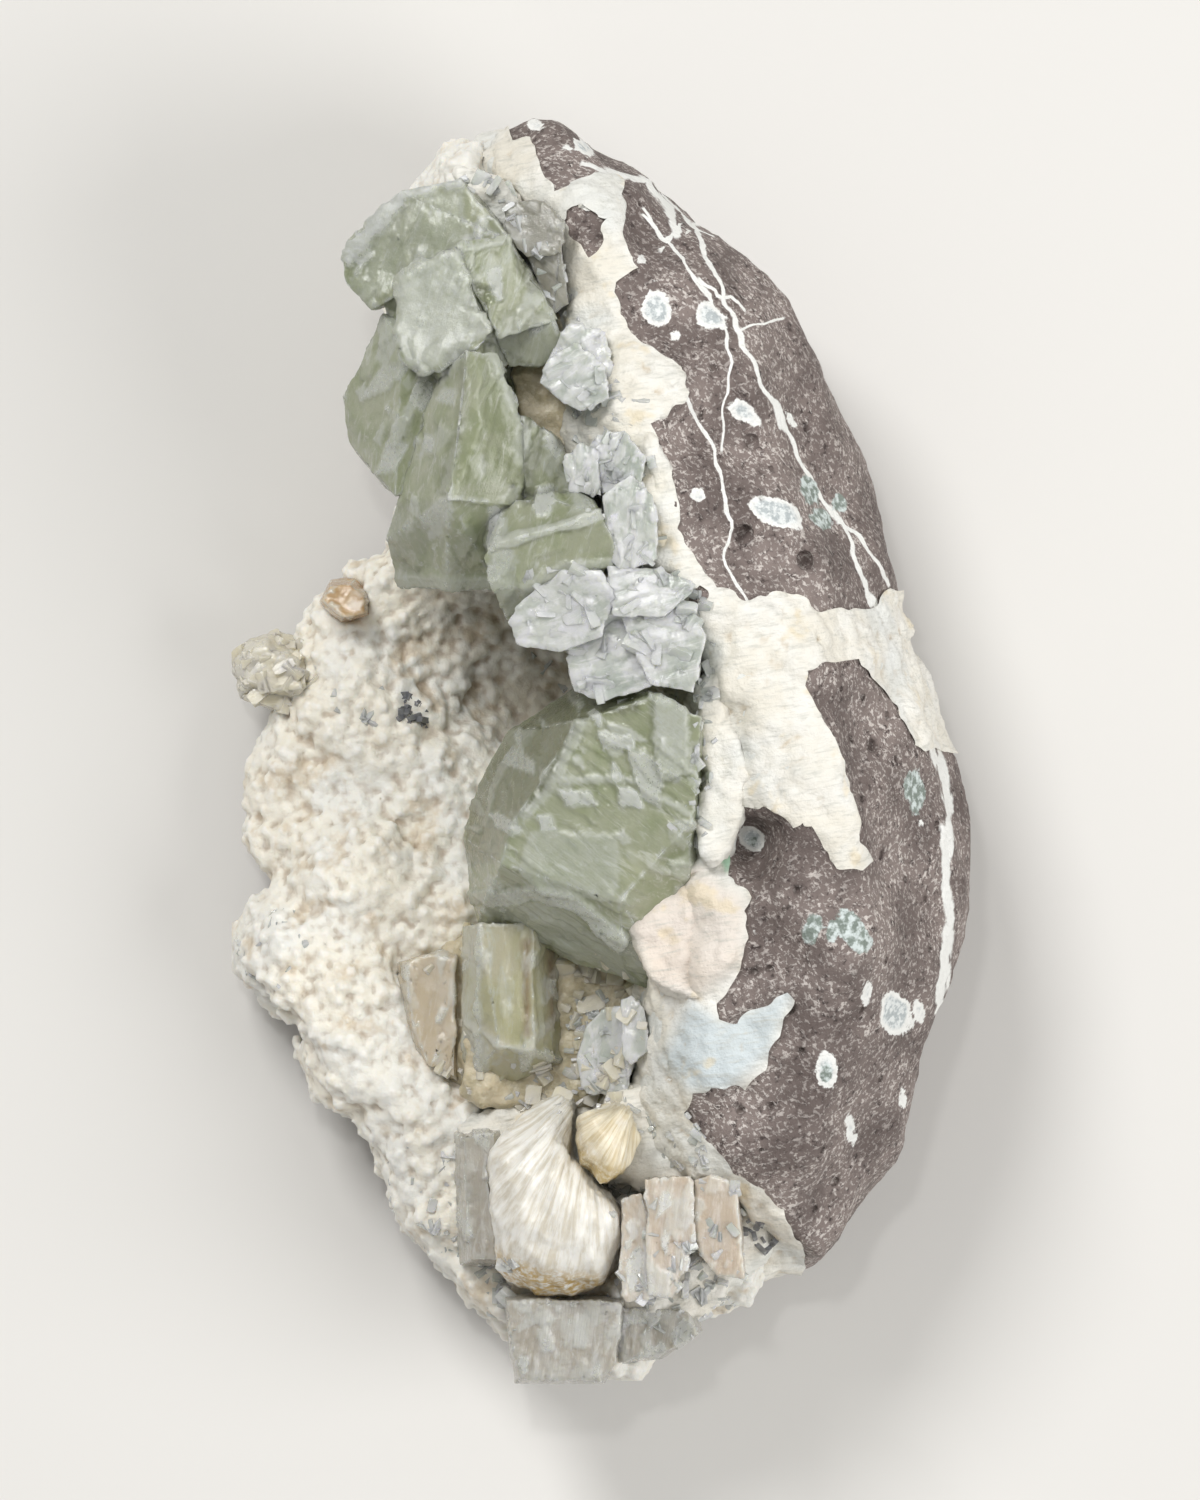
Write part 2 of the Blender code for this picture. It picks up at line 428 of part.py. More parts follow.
def edge_distance(x, y, line, closed=True):
    """Distance in plan from each point to an outline or an open line."""
    ends = line[1:] + line[:1] if closed else line[1:]
    best = np.full(len(x), 1e9)
    for (ax, ay), (bx, by) in zip(line, ends):
        dx, dy = bx - ax, by - ay
        along = np.clip(((x - ax) * dx + (y - ay) * dy) / (dx * dx + dy * dy), 0, 1)
        best = np.minimum(best, np.hypot(x - ax - along * dx, y - ay - along * dy))
    return best


def blended_height(x, y, places):
    """Height at each point, weighted towards the nearest of the given places."""
    total = np.zeros(len(x))
    weights = np.zeros(len(x))
    for px, py, pz in places:
        reach = ((x - px) ** 2 + (y - py) ** 2) / (2 * HEIGHT_REACH ** 2)
        weight = 1 / (1 + reach) ** 3
        total += weight * pz
        weights += weight
    return total / weights


def smooth_step(value):
    value = np.clip(value, 0, 1)
    return value * value * (3 - 2 * value)


def wall_share(x, y):
    """0 over the cavity floor, 1 over the rock face, rising across the cavity wall."""
    foot = np.interp(y, [p[1] for p in WALL_FOOT], [p[0] for p in WALL_FOOT])
    return smooth_step((x - foot) / WALL_WIDTH)


def rounded(points, low, high, edge, radius, least):
    """Stretch a prism between two height fields, thinned to a rounded edge."""
    share = points[:, 2] / CAP_HEIGHT + 0.5
    inner = 1 - np.clip(edge / radius, 0, 1)
    thin = least + (1 - least) * np.sqrt(1 - inner ** 2)
    middle = (low + high) / 2
    points[:, 2] = middle + (share - 0.5) * (high - low) * thin
    return points


def roughen(obj, layers):
    """Move each point along its normal by layered noise: size, height and kind."""
    points = get_points(obj)
    normals = np.array([vertex.normal[:] for vertex in obj.data.vertices])
    for index, point in enumerate(points):
        place = Vector(point)
        lift = 0.0
        for size, height, kind in layers:
            if kind == "lumps":
                nearest = noise.voronoi(place / size)[0][0]
                lift += height * (0.5 - nearest)
            else:
                lift += height * noise.noise(place / size)
        points[index] += normals[index] * lift
    set_points(obj, points)
    return obj


def build_rock(collection):
    rock = remesh(outline_prism("basalt_matrix", ROCK_OUTLINE, collection), ROCK_VOXEL)
    points = get_points(rock)
    x, y = points[:, 0], points[:, 1]
    edge = edge_distance(x, y, ROCK_OUTLINE)
    share = wall_share(x, y)
    floor = blended_height(x, y, FLOOR_HEIGHTS) - SKIN
    high = floor * (1 - share) + blended_height(x, y, FACE_HEIGHTS) * share
    undercut = share * (WALL_UNDERCUT + FLAT_DEPTH)
    low = undercut * (1 - np.clip(edge / WALL_UNDERCUT_REACH, 0, 1)) - FLAT_DEPTH
    rim = FLOOR_RIM + (WALL_RIM - FLOOR_RIM) * share
    set_points(rock, rounded(points, low, high, edge, rim, ROCK_EDGE))
    roughen(rock, ROCK_ROUGHNESS)
    decimate(rock, ROCK_FACES)
    for place, facing in BACK_BREAKS + [TABLE]:
        chip(rock, place, facing, collection)
    return rock


def chip(obj, place, facing, collection):
    """Break the object off flat at a plane; what lies on the facing side goes."""
    bm = bmesh.new()
    bmesh.ops.create_cube(bm, size=CHIP_SIZE)
    bmesh.ops.translate(bm, vec=(0, 0, CHIP_SIZE / 2), verts=bm.verts)
    turn = Vector((0, 0, 1)).rotation_difference(Vector(facing)).to_matrix()
    bmesh.ops.rotate(bm, cent=(0, 0, 0), matrix=turn, verts=bm.verts)
    bmesh.ops.translate(bm, vec=place, verts=bm.verts)
    block = object_from(bm, "chip", collection)
    boolean(obj, block, "DIFFERENCE")
    bpy.data.objects.remove(block)


def build_rind(collection):
    outline = RIND_RIGHT + RIND_LEFT
    rind = remesh(outline_prism("zeolite_rind", outline, collection), CRUST_VOXEL)
    points = get_points(rind)
    x, y = points[:, 0], points[:, 1]
    share = wall_share(x, y)
    edge = edge_distance(x, y, RIND_LEFT, closed=False)
    slope = 1 - np.clip(edge / RIND_SLOPE, 0, 1)
    roll = 1 - np.clip(edge_distance(x, y, ROCK_OUTLINE) / RIND_ROLL, 0, 1)
    face = blended_height(x, y, FACE_HEIGHTS)
    face -= (RIND_ROLL_DEPTH[0] * face - RIND_ROLL_DEPTH[1]) * (1 - np.sqrt(1 - roll ** 2))
    high = face + RIND_PROUD - RIND_SLOPE_DEPTH * slope ** 2
    floor = blended_height(x, y, FLOOR_HEIGHTS) - RIND_BURIED
    low = floor * (1 - share) + (face - BAND_DEPTH) * share
    low = np.minimum(low, high - RIND_THINNEST)
    set_points(rind, rounded(points, low, high, edge, RIND_RIM, RIND_EDGE))
    roughen(rind, RIND_ROUGHNESS)
    return decimate(rind, RIND_FACES)


def build_crust(collection):
    outline = CRUST_LEFT + CRUST_RIGHT
    crust = remesh(outline_prism("drusy_crust", outline, collection), CRUST_VOXEL)
    points = get_points(crust)
    x, y = points[:, 0], points[:, 1]
    edge = edge_distance(x, y, CRUST_LEFT, closed=False)
    high = blended_height(x, y, FLOOR_HEIGHTS)
    set_points(crust, rounded(points, CRUST_BOTTOM, high, edge, CRUST_RIM, CRUST_EDGE))
    roughen(crust, CRUST_ROUGHNESS)
    decimate(crust, CRUST_FACES)
    for place, facing in BACK_BREAKS:
        chip(crust, place, facing, collection)
    return crust


def dome(name, outline, top, bottom, fall, collection, faces):
    """A fan of stilbite blades: an outline crowned in the middle."""
    fan = remesh(outline_prism(name, outline, collection), SHEAF_VOXEL)
    points = get_points(fan)
    x, y = points[:, 0], points[:, 1]
    height, cx, cy = top
    high = height - fall * ((x - cx) ** 2 + (y - cy) ** 2)
    edge = edge_distance(x, y, outline)
    set_points(fan, rounded(points, bottom, high, edge, DOME_RIM, DOME_EDGE))
    roughen(fan, DOME_ROUGHNESS)
    return decimate(fan, faces)


def crystal_points(crystal):
    height, slope_x, slope_y, cx, cy = crystal["plane"]
    front = [(x, y, height + slope_x * (x - cx) + slope_y * (y - cy)) for x, y in crystal["front"]]
    return front + crystal["deep"]


def hull(shape):
    """The flat-faced hull of a crystal's corners, in millimetres."""
    bm = bmesh.new()
    for corner in crystal_points(shape):
        bm.verts.new(corner)
    made = bmesh.ops.convex_hull(bm, input=bm.verts)
    loose = {item for item in made["geom_interior"] + made["geom_unused"]
             if isinstance(item, bmesh.types.BMVert)}
    bmesh.ops.delete(bm, geom=list(loose), context="VERTS")
    bmesh.ops.recalc_face_normals(bm, faces=bm.faces)
    bm.normal_update()
    return bm


def grown_hull(shape, gap):
    """A crystal whose every face stands further out by the gap."""
    inner = hull(shape)
    planes = []
    for face in sorted(inner.faces, key=lambda face: -face.calc_area()):
        facing, reach = face.normal.copy(), max(face.normal.dot(vert.co) for vert in inner.verts)
        if all(facing.dot(known) < SAME_FACING for _, known in planes):
            planes.append((facing * (reach + gap), facing))
    inner.free()
    bm = bmesh.new()
    bmesh.ops.create_cube(bm, size=CHIP_SIZE)
    for place, facing in planes:
        geometry = bm.verts[:] + bm.edges[:] + bm.faces[:]
        cut = bmesh.ops.bisect_plane(bm, geom=geometry, plane_co=place, plane_no=facing,
                                     dist=PLANE_SLACK, clear_outer=True)
        rim = [item for item in cut["geom_cut"] if isinstance(item, bmesh.types.BMEdge)]
        if rim:
            bmesh.ops.holes_fill(bm, edges=rim, sides=0)
    bmesh.ops.triangulate(bm, faces=bm.faces)
    bmesh.ops.recalc_face_normals(bm, faces=bm.faces)
    return bm


def boolean(obj, other, operation, solver="EXACT"):
    modifier = obj.modifiers.new("boolean", "BOOLEAN")
    modifier.operation = operation
    modifier.solver = solver
    modifier.object = other
    return settle(obj)


def joined(name, meshes, collection, cutters):
    """Solids grown into one another, joined in one."""
    whole = object_from(meshes[0], name, collection)
    for mesh in meshes[1:]:
        other = object_from(mesh, "grown_in", cutters)
        boolean(whole, other, "UNION", "MANIFOLD")
        bpy.data.objects.remove(other)
    return whole


def crystals(name, shapes, collection, cutters):
    """A piece made of crystals, and the room that it takes up in its neighbours."""
    piece = joined(name, [hull(shape) for shape in shapes], collection, cutters)
    rooms = [grown_hull(shape, GAP) for shape in shapes]
    return piece, [joined(name + "_room", rooms, cutters, cutters)]


def swell(obj, gap, collection, lift=0.0):
    """A copy of a rough lump grown by the gap, and raised on its upper side by lift."""
    grown = bpy.data.objects.new(obj.name + "_room", obj.data.copy())
    collection.objects.link(grown)

    def grow(bm):
        bmesh.ops.triangulate(bm, faces=bm.faces)
        bm.normal_update()
        moves = [vert.normal * gap * MM * min(vert.calc_shell_factor(), SHELL_LIMIT)
                 for vert in bm.verts]
        for vert, move in zip(bm.verts, moves):
            if vert.normal.z > UPWARD:
                move.z += lift * MM
            vert.co += move
    return edit(grown, grow)


def lump(obj, cutters, plain_faces=0, plain_gap=0.0, lift=0.0):
    """A rough lump and its room: a plain, loose one first, so that what it hides stays plain."""
    rooms = [swell(obj, LUMP_GAP, cutters, lift)]
    if plain_faces:
        plain = bpy.data.objects.new("plain", rooms[0].data.copy())
        cutters.objects.link(plain)
        decimate(plain, plain_faces)
        rooms.insert(0, swell(plain, plain_gap, cutters))
        bpy.data.objects.remove(plain)
    return obj, rooms


def boxes_meet(first, second):
    low_a, high_a = get_points(first).min(0), get_points(first).max(0)
    low_b, high_b = get_points(second).min(0), get_points(second).max(0)
    return bool(np.all(low_a - NEAR < high_b) and np.all(low_b - NEAR < high_a))


def keep_largest(obj):
    """Drop the slivers that a cut leaves loose beside the main body."""
    def drop(bm):
        unseen = set(bm.faces)
        shells = []
        while unseen:
            front = [unseen.pop()]
            shell = list(front)
            while front:
                face = front.pop()
                for edge in face.edges:
                    for near in edge.link_faces:
                        if near in unseen:
                            unseen.remove(near)
                            front.append(near)
                            shell.append(near)
            shells.append(shell)
        shells.sort(key=len)
        for shell in shells[:-1]:
            bmesh.ops.delete(bm, geom=shell, context="FACES")
        bmesh.ops.triangulate(bm, faces=bm.faces)
    return edit(obj, drop)


def make_room(pieces):
    """Each piece gives way to those listed before it, with a small gap between."""
    taken = []
    for piece, rooms in pieces:
        for room in taken:
            if boxes_meet(room, piece):
                boolean(piece, room, "DIFFERENCE", "MANIFOLD")
        taken += rooms
    for room in taken:
        bpy.data.objects.remove(room)


def drill_pits(rock, cutters):
    """Open gas bubbles in the rock face."""
    for x, y, radius in PITS:
        height = surface_height(rock, x, y)
        bm = bmesh.new()
        bmesh.ops.create_icosphere(bm, subdivisions=1, radius=radius)
        bmesh.ops.translate(bm, vec=(x, y, height - radius * PIT_SINK), verts=bm.verts)
        pit = object_from(bm, "pit", cutters)
        boolean(rock, pit, "DIFFERENCE", "MANIFOLD")
        bpy.data.objects.remove(pit)


def surface_height(obj, x, y):
    _, place, _, _ = obj.ray_cast(Vector((x, y, ABOVE_ALL)) * MM, Vector((0, 0, -1)))
    return place.z / MM


def centre_on_base(pieces):
    """Put the origin at the middle of the base of the whole object's box."""
    low = np.min([get_points(piece).min(0) for piece in pieces], axis=0)
    high = np.max([get_points(piece).max(0) for piece in pieces], axis=0)
    shift = np.array([-(low[0] + high[0]) / 2, -(low[1] + high[1]) / 2, -low[2]])
    for piece in pieces:
        set_points(piece, get_points(piece) + shift)
    print("size mm", np.round(high - low, 2), "moved by", np.round(shift, 3))


def main():
    clear_scene()
    parts = make_collection("apophyllite_cluster")
    cutters = make_collection("cutters")
    made = [crystals(name, shapes, parts, cutters) for name, shapes in CRYSTAL_PIECES]
    disc = dome("stilbite_disc", DISC_OUTLINE, DISC_TOP, DISC_BOTTOM, DISC_FALL, parts, DISC_FACES)
    sheaf = dome("stilbite_sheaf", SHEAF_OUTLINE, SHEAF_TOP, SHEAF_BOTTOM, SHEAF_FALL, parts,
                 SHEAF_FACES)
    made[SHEAF_PLACE:SHEAF_PLACE] = [lump(disc, cutters), lump(sheaf, cutters)]
    made.append(lump(build_rind(parts), cutters, RIND_ROOM_FACES, RIND_ROOM_GAP, RIND_LIFT))
    made.append(lump(build_rock(parts), cutters, ROCK_ROOM_FACES, ROCK_ROOM_GAP))
    made.append(lump(build_crust(parts), cutters))
    make_room(made)
    drill_pits(bpy.data.objects["basalt_matrix"], cutters)
    pieces = [piece for piece, _ in made]
    for piece in pieces:
        keep_largest(piece)
        piece.data.materials.clear()
        piece.data.materials.append(make_material(piece.name))
    centre_on_base(pieces)


main()
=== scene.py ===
# Apophyllite cluster: green apophyllite, pearly stilbite and white druse in a broken
# cavity of vesicular basalt, lying on its back under a camera that looks straight down.
import math

import bmesh
import bpy
import numpy as np
from mathutils import Matrix, Vector, noise
from mathutils.bvhtree import BVHTree


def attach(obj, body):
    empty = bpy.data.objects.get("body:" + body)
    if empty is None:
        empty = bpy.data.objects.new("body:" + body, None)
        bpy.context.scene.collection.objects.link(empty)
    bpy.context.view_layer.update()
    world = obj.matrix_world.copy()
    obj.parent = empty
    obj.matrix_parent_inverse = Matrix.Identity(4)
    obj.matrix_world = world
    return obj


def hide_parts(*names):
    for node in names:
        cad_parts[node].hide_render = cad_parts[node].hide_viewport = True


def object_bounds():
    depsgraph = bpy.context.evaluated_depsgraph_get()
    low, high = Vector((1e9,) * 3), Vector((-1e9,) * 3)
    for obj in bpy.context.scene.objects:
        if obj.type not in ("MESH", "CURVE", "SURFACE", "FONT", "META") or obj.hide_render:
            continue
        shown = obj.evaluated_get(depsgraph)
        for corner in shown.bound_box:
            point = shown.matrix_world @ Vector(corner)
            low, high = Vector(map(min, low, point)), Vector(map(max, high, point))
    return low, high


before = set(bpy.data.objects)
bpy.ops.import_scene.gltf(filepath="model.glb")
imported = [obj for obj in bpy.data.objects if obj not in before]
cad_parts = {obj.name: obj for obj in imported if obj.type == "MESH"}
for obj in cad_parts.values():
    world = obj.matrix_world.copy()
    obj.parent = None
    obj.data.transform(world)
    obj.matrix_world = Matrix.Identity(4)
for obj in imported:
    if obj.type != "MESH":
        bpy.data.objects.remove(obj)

mm = 0.001
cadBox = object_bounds()
edgeSeed = 1795602799  # the noise of the ragged edges comes out the same at every run
noise.seed_set(edgeSeed)

# The photo's pixels in the specimen's plan: the specimen is 160 mm from tip to tip
photo = dict(middleX=600, middleY=751, mmPerPixel=160 / 1272)


def plan(pixels):  # photo pixels to plan millimetres
    scale = photo["mmPerPixel"]
    return [((x - photo["middleX"]) * scale, (photo["middleY"] - y) * scale) for x, y in pixels]


# Meshes

def linkMesh(name, mesh):
    piece = bpy.data.objects.new(name, mesh)
    bpy.context.scene.collection.objects.link(piece)
    return piece


def linkForm(name, bm):  # a bmesh as an object of its own
    mesh = bpy.data.meshes.new(name)
    bm.to_mesh(mesh)
    bm.free()
    return linkMesh(name, mesh)


def copyNodes(name, nodes, swell=0.0):  # CAD solids as one merged mesh, each grown a little
    bm = bmesh.new()
    for node in nodes:
        part = bmesh.new()
        part.from_mesh(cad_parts[node].data)
        bmesh.ops.remove_doubles(part, verts=part.verts, dist=0.001 * mm)
        part.normal_update()
        for vert, step in [(vert, vert.normal * swell * mm) for vert in part.verts]:
            vert.co += step
        mesh = bpy.data.meshes.new("part")
        part.to_mesh(mesh)
        part.free()
        bm.from_mesh(mesh)
        bpy.data.meshes.remove(mesh)
    return linkForm(name, bm)


def modify(piece, kind, **settings):  # a modifier, applied at once
    modifier = piece.modifiers.new(kind.lower(), kind)
    for key, value in settings.items():
        setattr(modifier, key, value)
    graph = bpy.context.evaluated_depsgraph_get()
    mesh = bpy.data.meshes.new_from_object(piece.evaluated_get(graph))
    piece.modifiers.clear()
    piece.data = mesh
    return piece


def remesh(piece, voxel):
    return modify(piece, "REMESH", mode="VOXEL", voxel_size=voxel * mm)


def relief(piece, kind, size, height, middle=0.5, group="", **settings):  # sizes in millimetres
    texture = bpy.data.textures.new(piece.name + kind, kind)
    texture.noise_scale = size * mm
    for key, value in settings.items():
        setattr(texture, key, value)
    modify(piece, "DISPLACE", texture=texture, texture_coords="LOCAL",
           strength=height * mm, mid_level=middle, vertex_group=group)


def getPoints(piece):
    flat = np.empty(len(piece.data.vertices) * 3, "f")
    piece.data.vertices.foreach_get("co", flat)
    return flat.reshape(-1, 3)


def getNormals(piece):
    flat = np.empty(len(piece.data.vertices) * 3, "f")
    piece.data.vertex_normals.foreach_get("vector", flat)
    return flat.reshape(-1, 3)


def setPoints(piece, points):
    piece.data.vertices.foreach_set("co", np.ascontiguousarray(points, "f").ravel())
    piece.data.update()


def setWeights(piece, group, weights):
    vertexGroup = piece.vertex_groups.new(name=group)
    steps = 20
    for step in range(steps + 1):
        chosen = np.nonzero(np.round(weights * steps) == step)[0]
        vertexGroup.add(chosen.tolist(), step / steps, "REPLACE")


def mark(piece, name, values):  # a float for each vertex, which the material reads
    attribute = piece.data.attributes.new(name, "FLOAT", "POINT")
    attribute.data.foreach_set("value", np.ascontiguousarray(values, "f"))


def boolean(piece, other, operation):
    modify(piece, "BOOLEAN", object=other, operation=operation, solver="MANIFOLD")
    bpy.data.objects.remove(other)


def smoothShade(piece, angle=None):
    piece.data.shade_smooth()
    if angle:
        piece.data.set_sharp_from_angle(angle=math.radians(angle))


def ragged(outline, step, wobble, size):  # an outline in millimetres, broken up finely
    points = []
    for (ax, ay), (bx, by) in zip(outline, outline[1:] + outline[:1]):
        count = max(1, round(math.hypot(bx - ax, by - ay) / step))
        for index in range(count):
            x, y = ax + (bx - ax) * index / count, ay + (by - ay) * index / count
            push = noise.noise_vector(Vector((x, y, 0)) / size) * wobble
            points.append((x + push.x, y + push.y))
    return points


def outlineSolid(name, outline, low, high):  # an upright solid on an outline
    bm = bmesh.new()
    corners = [bm.verts.new((x * mm, y * mm, low * mm)) for x, y in outline]
    bm.faces.new(corners)
    made = bmesh.ops.extrude_face_region(bm, geom=bm.faces[:])
    risen = [item for item in made["geom"] if isinstance(item, bmesh.types.BMVert)]
    bmesh.ops.translate(bm, vec=(0, 0, (high - low) * mm), verts=risen)
    bmesh.ops.recalc_face_normals(bm, faces=bm.faces)
    return linkForm(name, bm)


def segmentDistances(x, y, line):  # distance and side of each point to each piece of a line
    far = np.full(len(x), 1e9)
    side = np.zeros(len(x))
    for (ax, ay), (bx, by) in zip(line[:-1], line[1:]):
        dx, dy = bx - ax, by - ay
        along = ((x - ax) * dx + (y - ay) * dy) / (dx * dx + dy * dy)
        held = np.clip(along, 0, 1)
        gap = np.hypot(x - ax - held * dx, y - ay - held * dy)
        across = ((x - ax) * dy - (y - ay) * dx) / math.hypot(dx, dy)
        nearer = gap < far
        side = np.where(nearer, across, side)
        far = np.minimum(far, gap)
    return far, side


def insideOutline(points, outline):  # distance in plan to an outline, below zero inside it
    x, y = points[:, 0], points[:, 1]
    far, _ = segmentDistances(x, y, outline + outline[:1])
    inside = np.zeros(len(x), bool)
    for (ax, ay), (bx, by) in zip(outline, outline[1:] + outline[:1]):
        crosses = (ay > y) != (by > y)
        cut = (bx - ax) * (y - ay) / ((by - ay) or 1e-9) + ax
        inside ^= crosses & (x < cut)
    return np.where(inside, -far, far)


def smoothStep(value):
    value = np.clip(value, 0, 1)
    return value * value * (3 - 2 * value)


def noiseAt(points, size):  # smooth noise of a size in millimetres, about -1 to 1
    return np.array([noise.noise(Vector(point) / size) for point in points.tolist()])


def fibrous(points, size):  # noise drawn out along the white's fibres
    along = points[:, 0] * 0.8 - points[:, 1] * 0.6
    across = points[:, 0] * 0.6 + points[:, 1] * 0.8
    return noiseAt(np.stack([along * 0.16, across, points[:, 2] * 0.5], 1), size)


def grow(name, seed, places, turns, sizes):  # one small crystal repeated, as a joined mesh
    mesh = bpy.data.meshes.new(name)
    mesh.from_pydata([tuple(place) for place in places], [], [])
    for label, values in (("turn", turns), ("size", sizes)):
        attribute = mesh.attributes.new(label, "FLOAT_VECTOR", "POINT")
        attribute.data.foreach_set("vector", np.array(values, "f").ravel())
    piece = linkMesh(name, mesh)
    tree = bpy.data.node_groups.new(name + "Growth", "GeometryNodeTree")
    tree.interface.new_socket(name="Points", in_out="INPUT", socket_type="NodeSocketGeometry")
    tree.interface.new_socket(name="Crystals", in_out="OUTPUT", socket_type="NodeSocketGeometry")
    start = tree.nodes.new("NodeGroupInput")
    end = tree.nodes.new("NodeGroupOutput")
    crystal = tree.nodes.new("GeometryNodeObjectInfo")
    crystal.inputs["Object"].default_value = seed
    spread = tree.nodes.new("GeometryNodeInstanceOnPoints")
    real = tree.nodes.new("GeometryNodeRealizeInstances")
    tree.links.new(start.outputs[0], spread.inputs["Points"])
    tree.links.new(crystal.outputs["Geometry"], spread.inputs["Instance"])
    for label, socket in (("turn", "Rotation"), ("size", "Scale")):
        named = tree.nodes.new("GeometryNodeInputNamedAttribute")
        named.data_type = "FLOAT_VECTOR"
        named.inputs["Name"].default_value = label
        tree.links.new(named.outputs["Attribute"], spread.inputs[socket])
    tree.links.new(spread.outputs["Instances"], real.inputs["Geometry"])
    tree.links.new(real.outputs["Geometry"], end.inputs[0])
    modify(piece, "NODES", node_group=tree)
    bpy.data.objects.remove(seed)
    return piece


def hollows(piece, iterations):  # how far each point lies below its surroundings, in millimetres
    soft = linkMesh("soft", piece.data.copy())
    modify(soft, "SMOOTH", factor=0.5, iterations=iterations)
    below = ((getPoints(soft) - getPoints(piece)) * getNormals(piece)).sum(1) / mm
    bpy.data.objects.remove(soft)
    return below


def closedCopy(name, nodes, swell, closing, voxel):  # a copy whose clefts are closed
    piece = copyNodes(name, nodes, swell + closing)
    remesh(piece, voxel)
    modify(piece, "SMOOTH", factor=0.5, iterations=3)
    setPoints(piece, getPoints(piece) - getNormals(piece) * closing * mm)
    return remesh(piece, voxel)


def join(name, pieces):
    bm = bmesh.new()
    for piece in pieces:
        bm.from_mesh(piece.data)
        bpy.data.objects.remove(piece)
    return linkForm(name, bm)


def place(piece, material, slot, nodes=()):  # finish and body, with the CAD nodes it stands for hidden; the slot is not used
    low, high = (np.array(corner, "f") for corner in cadBox)
    setPoints(piece, np.clip(getPoints(piece), low, high))
    piece.data.materials.clear()
    piece.data.materials.append(material)
    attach(piece, "root")
    if nodes:
        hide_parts(*nodes)


# Materials

def linear(hexColour):  # an sRGB hex value as linear colour
    parts = [int(hexColour[index:index + 2], 16) / 255 for index in (1, 3, 5)]
    return [part / 12.92 if part <= 0.04045 else ((part + 0.055) / 1.055) ** 2.4
            for part in parts] + [1]


def addNode(tree, kind, inputs=None, output=0, **settings):  # a node with its settings and links
    node = tree.nodes.new("ShaderNode" + kind)
    for key, value in settings.items():
        setattr(node, key, value)
    for key, value in (inputs or {}).items():
        if isinstance(value, bpy.types.NodeSocket):
            tree.links.new(value, node.inputs[key])
        else:
            node.inputs[key].default_value = value
    return node.outputs[output]


def startMaterial(name):
    material = bpy.data.materials.new(name)
    material.use_nodes = True
    tree = material.node_tree
    tree.nodes.clear()
    return material, tree, addNode(tree, "TexCoord", output="Object")


def finishMaterial(tree, inputs, absorption=None):  # absorption is a colour and a density
    output = tree.nodes.new("ShaderNodeOutputMaterial")
    tree.links.new(addNode(tree, "BsdfPrincipled", inputs), output.inputs["Surface"])
    if absorption:
        colour, density = absorption
        inside = addNode(tree, "VolumeAbsorption", {"Color": linear(colour), "Density": density})
        tree.links.new(inside, output.inputs["Volume"])


def pattern(tree, coords, source):
    # an attribute's name, a socket, or noise as its size in mm, detail, roughness and distortion
    if isinstance(source, str):
        return addNode(tree, "Attribute", output="Fac", attribute_name=source)
    if isinstance(source, tuple):
        size, detail, rough, bend = source + (0.6, 0.0)[len(source) - 2:]
        return addNode(tree, "TexNoise", {"Vector": coords, "Scale": 1 / (size * mm), "Detail": detail,
                                          "Roughness": rough, "Distortion": bend}, "Fac")
    return source


def mask(tree, coords, source, low, high, least=0.0, most=1.0, fray=None):
    # a pattern with soft limits, frayed by noise of a size in mm and a reach in the pattern's units
    value = pattern(tree, coords, source)
    if fray:
        size, reach = fray
        noisy = addNode(tree, "Math", {0: pattern(tree, coords, (size, 3)), 1: reach, 2: -reach / 2},
                        operation="MULTIPLY_ADD")
        value = addNode(tree, "Math", {0: value, 1: noisy}, operation="ADD")
    return addNode(tree, "MapRange", {"Value": value, "From Min": low, "From Max": high,
                                      "To Min": least, "To Max": most}, interpolation_type="SMOOTHSTEP")


def paint(tree, tone, coats):  # coats of a share and a colour, one over the other
    for share, colour in coats:
        under, over = (linear(value) if isinstance(value, str) else value for value in (tone, colour))
        tone = addNode(tree, "Mix", {0: pattern(tree, None, share), 6: under, 7: over}, 2, data_type="RGBA")
    return tone


def roughen(tree, layers):  # bumps of a height, a distance in mm and a strength, one over the other
    normal = None
    for height, distance, strength in layers:
        inputs = {"Height": height, "Distance": distance * mm, "Strength": strength}
        if normal:
            inputs["Normal"] = normal
        normal = addNode(tree, "Bump", inputs)
    return normal


# Basalt: brown-grey, fine grained, with pale feldspar laths and flush white fillings
basalt = dict(undercut=0.5, closing=1.4, voxel=0.94, smoothing=10, relief=((7, 0.9), (2.2, 0.55)),
              lowest=0.02, face=20, pitSunk=0.25)

